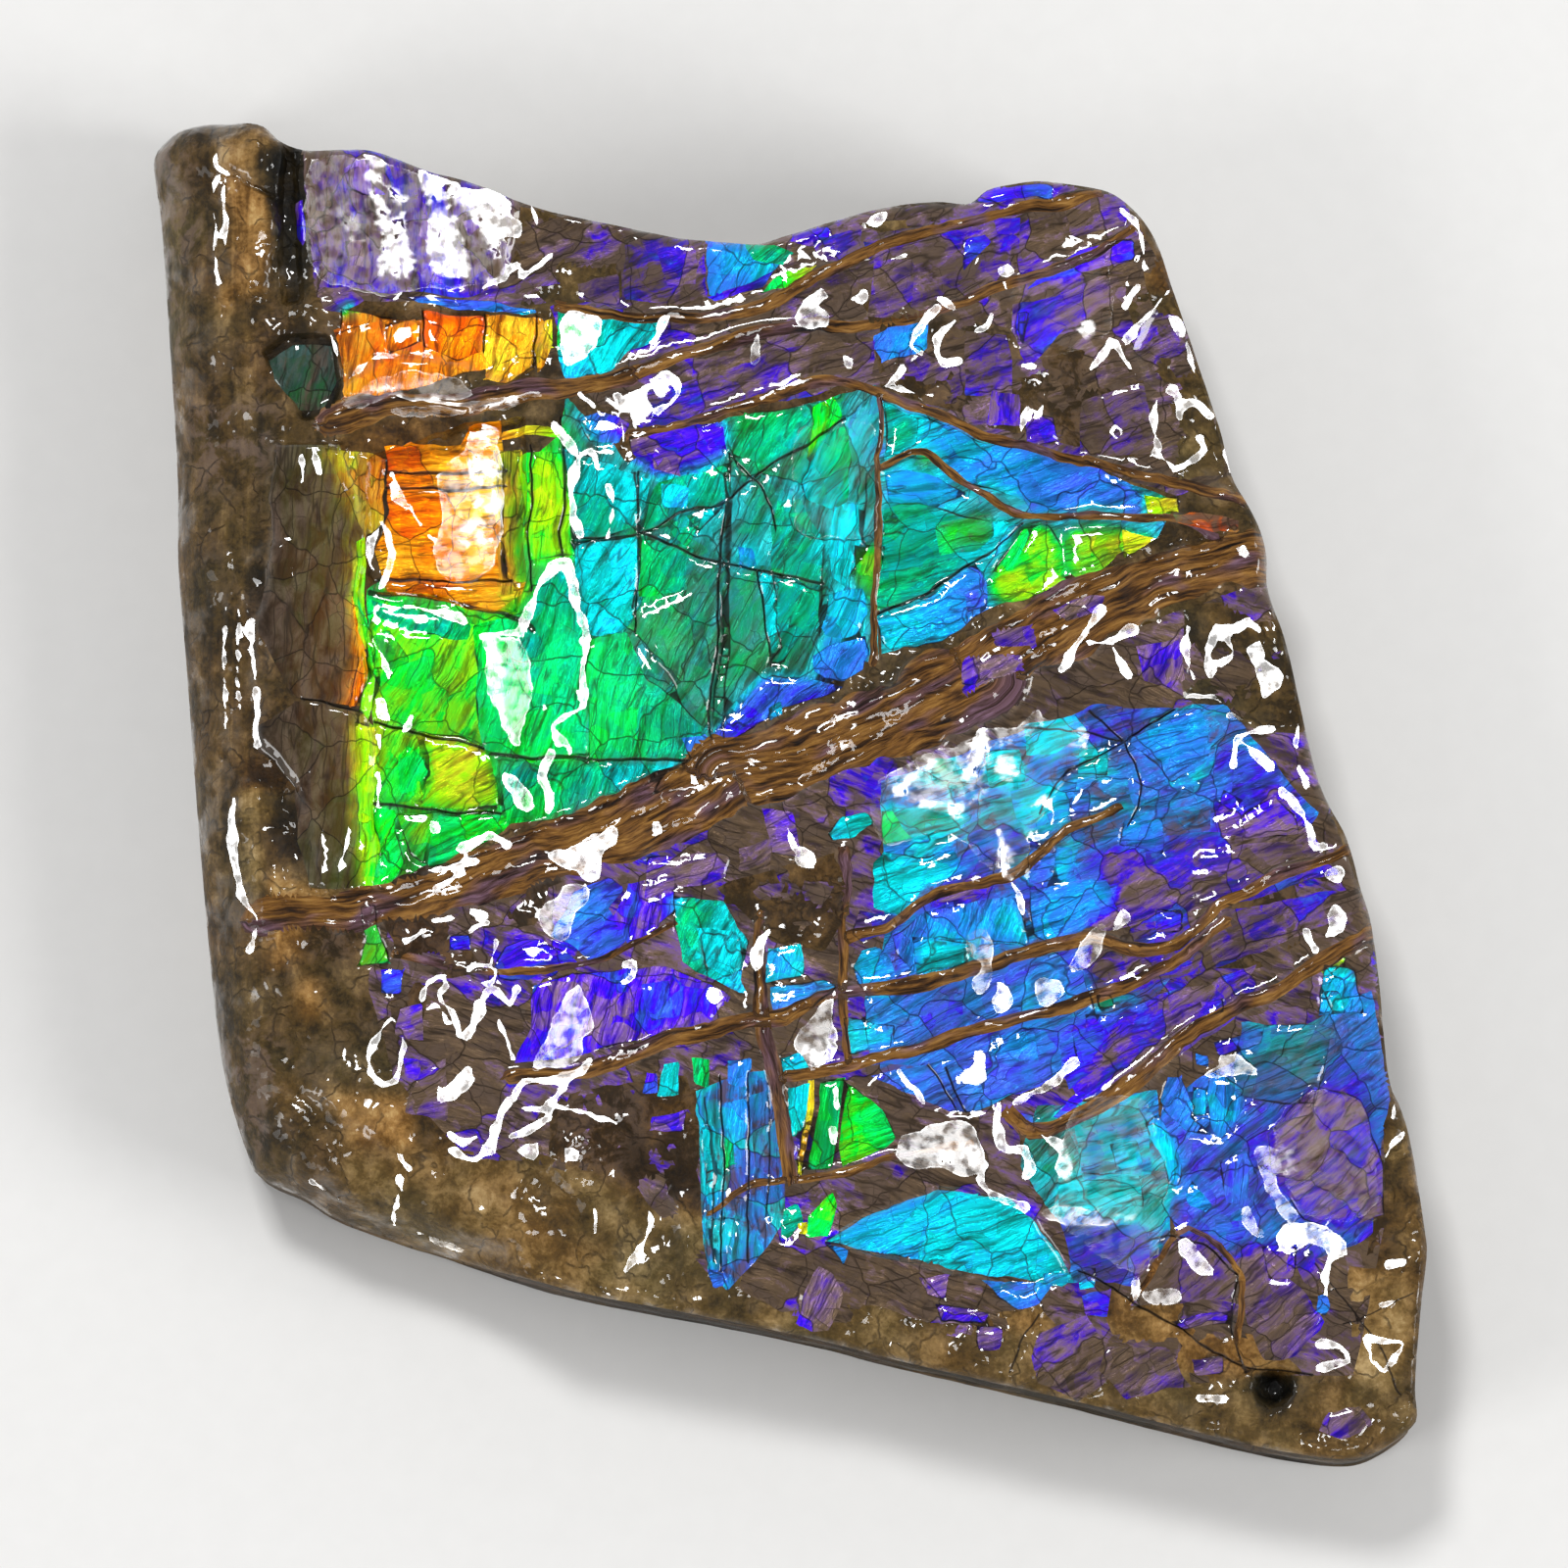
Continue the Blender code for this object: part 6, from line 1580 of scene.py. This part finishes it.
def stone_look(n, place_mm):
    """Colour, relief and specks of the bare ironstone and shale"""
    _, tone, warmth, patina = n.attribute("ground")
    is_wall = n.attribute("kind")[3]
    layers = n.stretched_noise(place_mm, (0.1, 0.1, 1.7), 5.0, 0.65, 0.3)
    crumbs = n.noise(place_mm, 1.1, 6.0, 0.66, 0.4)
    crumbs = n.blend_number(n.times(is_wall, 0.7), crumbs, layers)
    specks = n.noise(place_mm, 6.0, 3.0, 0.6)
    joint = n.cell_edges(n.wandering(place_mm, 1.2, 1.2), 0.5, 0.035)
    joint = n.times(joint, n.step(crumbs, 0.46, 0.58))
    streaks = n.stretched_noise(place_mm, (2.0, 0.2, 1.0), 3.0, 0.6, 0.4)
    level = n.add(n.add(n.swing(crumbs, 1.1), n.swing(specks, 0.35)), tone)
    level = n.add(level, n.swing(n.noise(place_mm, 0.4, 2.0, 0.5), 0.5))
    level = n.add(level, n.times(n.swing(layers, is_wall), 0.7))
    on_roll = n.step(n.parts(place_mm)[0], -20.0, -17.5, 0.7, 0.15)
    level = n.add(level, n.swing(streaks, on_roll))
    warmth = n.add(warmth, n.swing(n.noise(place_mm, 0.33, 2.0, 0.5), 1.1, 0.45))
    look = n.mix(warmth, n.ramp(level, OLIVE_STONE), n.ramp(level, AMBER_STONE))
    bloom = n.times(patina, n.step(crumbs, 0.46, 0.56))
    look = n.mix(n.times(bloom, 0.75), look, (0.13, 0.085, 0.065, 1))
    look = n.mix(n.times(joint, 0.55), look, (0.006, 0.005, 0.003, 1))
    return look, n.total((crumbs, 0.16), (specks, 0.02), (joint, -0.06)), specks


def lacquer(n, place_mm):
    """The clear coat's normal and weight: wavy over the stone, tilted to the key light in the glints"""
    grain = n.attribute("grain")[0]
    _, is_shell, is_seam, is_wall = n.attribute("kind")
    _, depth, power, _ = n.attribute("marks")
    wavy = n.times(n.noise(place_mm, 0.9, 2.0, 0.5), 0.2)
    stretched = n.times(n.stretched_noise(grain, (0.6, 1.8, 1.0), 1.0, 0.5), 0.12)
    smooth = n.times(n.noise(place_mm, 0.45, 1.0, 0.5), 0.07)
    waves = n.blend_number(is_seam, n.blend_number(is_shell, wavy, smooth), stretched)
    half_way = (KEY_WAY.normalized() + camera_way()).normalized()
    flicker = n.vector("SUBTRACT", n.noise(place_mm, 2.5, 2.0, 0.5, colour=True), (0.5, 0.5, 0.5))
    glint_normal = n.vector("ADD", n.vector("SCALE", flicker, 0.09), tuple(half_way))
    wobble = n.swing(n.noise(place_mm, 1.3, 1.0, 0.5), 0.4)
    wobble = n.add(wobble, n.swing(n.noise(place_mm, 4.0, 1.0, 0.5), 0.04))
    deep = n.add(depth, wobble)
    mask = n.step(deep, 0.0, 0.035)
    cloud = n.step(n.noise(place_mm, 2.2, 2.0, 0.5), 0.36, 0.6, 0.08, 1.2)
    cloud = n.add(cloud, n.times(power, 0.22))
    rim = n.step(deep, 0.02, 0.1, 1.6, 0.65)
    strength = n.math("MINIMUM", n.times(n.times(power, cloud), rim), 1.0)
    normal = n.vector("NORMALIZE", n.blend_vector(mask, n.bump(waves), glint_normal))
    gloss = n.step(n.noise(place_mm, 0.55, 3.0, 0.6), 0.48, 0.6, 0.18, 1.0)
    gloss = n.blend_number(is_shell, gloss, 1.0)
    plain = n.blend_number(is_wall, gloss, 0.2)
    return normal, n.blend_number(mask, plain, strength)


def new_material(name, values_of):
    """A material whose shader takes the values that `values_of` gives for its nodes"""
    material = bpy.data.materials.new(name)
    material.use_nodes = True
    n = Nodes(material)
    shader = material.node_tree.nodes["Principled BSDF"]
    for socket, value in values_of(n).items():
        n.put(shader.inputs[socket], value)
    return material


def fossil_values(n):
    _, is_shell, is_seam, _ = n.attribute("kind")
    crack = n.attribute("marks")[3]
    place_mm = n.vector("SCALE", n.place("Object"), 1 / MM)
    film, shown, film_relief, fine = film_look(n, place_mm)
    seam, seam_relief = seam_look(n)
    stone, stone_relief, specks = stone_look(n, place_mm)
    look = n.mix(is_seam, n.mix(is_shell, stone, film), seam)
    groove = n.step(crack, -0.02, 0.03)
    relief = n.blend_number(is_seam, n.blend_number(is_shell, stone_relief, film_relief), seam_relief)
    normal, weight = lacquer(n, place_mm)
    return {
        "Base Color": n.mix(n.times(groove, 0.9), look, (0.008, 0.005, 0.003, 1)),
        "Roughness": n.blend_number(
            is_shell, n.add(0.4, n.times(specks, 0.2)), n.add(0.25, n.times(fine, 0.15))
        ),
        "Metallic": n.times(n.times(is_shell, shown), 0.35),
        "Specular IOR Level": n.blend_number(is_shell, 0.12, 0.0),
        "Normal": n.bump(relief),
        "Coat Normal": normal,
        "Coat Weight": weight,
        "Coat Roughness": 0.03,
        "Coat IOR": 1.5,
    }


def paper_values(n):
    tone = n.noise(n.place("Object"), 900.0, 4.0)
    return {
        "Base Color": n.mix(tone, (0.74, 0.735, 0.72, 1), (0.78, 0.775, 0.76, 1)),
        "Roughness": 0.85,
    }


def add_softbox(name, way, distance, size, radiance):
    data = bpy.data.lights.new(name, "AREA")
    data.shape = "RECTANGLE"
    data.size = size
    data.size_y = size
    data.energy = radiance * math.pi * size * size
    light = bpy.data.objects.new(name, data)
    light.location = Vector(way).normalized() * distance + Vector((0, 0, FACE_LEVEL))
    light.rotation_euler = Vector(way).to_track_quat("Z", "Y").to_euler()
    bpy.context.scene.collection.objects.link(light)


def build_studio():
    bpy.ops.mesh.primitive_plane_add(size=30)
    floor = bpy.context.object
    floor.name = "table_top"
    floor.data.materials.append(new_material("pale_paper", paper_values))
    world = bpy.data.worlds.new("studio")
    bpy.context.scene.world = world
    world.use_nodes = True
    n = Nodes(world)
    background = world.node_tree.nodes["Background"]
    n.put(background.inputs["Color"], n.ramp(n.parts(n.place("Generated"))[2], SKY))
    add_softbox("key_softbox", KEY_WAY, 1.0, 0.17, 50)
    add_softbox("right_softbox", (0.85, -0.2, 0.55), 1.3, 0.5, 12)
    add_softbox("left_softbox", (-0.8, -0.35, 0.55), 1.3, 0.4, 8)


def build_camera():
    data = bpy.data.cameras.new("view")
    data.sensor_width = SENSOR_WIDTH
    data.lens = SENSOR_WIDTH * CAMERA_DISTANCE / (PICTURE_SIDE * DRAWING_UNIT)
    camera = bpy.data.objects.new("view", data)
    centre = Vector((*plan((PICTURE_SIDE / 2, PICTURE_SIDE / 2))[0], FACE_LEVEL))
    camera.location = centre + camera_way() * CAMERA_DISTANCE
    camera.rotation_euler = camera_way().to_track_quat("Z", "Y").to_euler()
    bpy.context.scene.collection.objects.link(camera)
    bpy.context.scene.camera = camera


def main():
    slab = bpy.data.objects.new("fossil_slab", make_mesh())
    bpy.context.scene.collection.objects.link(slab)
    slab.data.materials.append(new_material("lacquered_fossil", fossil_values))
    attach(slab, "root")
    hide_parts("ammolite")
    build_studio()
    build_camera()
    bpy.context.scene.view_settings.view_transform = "Standard"


main()
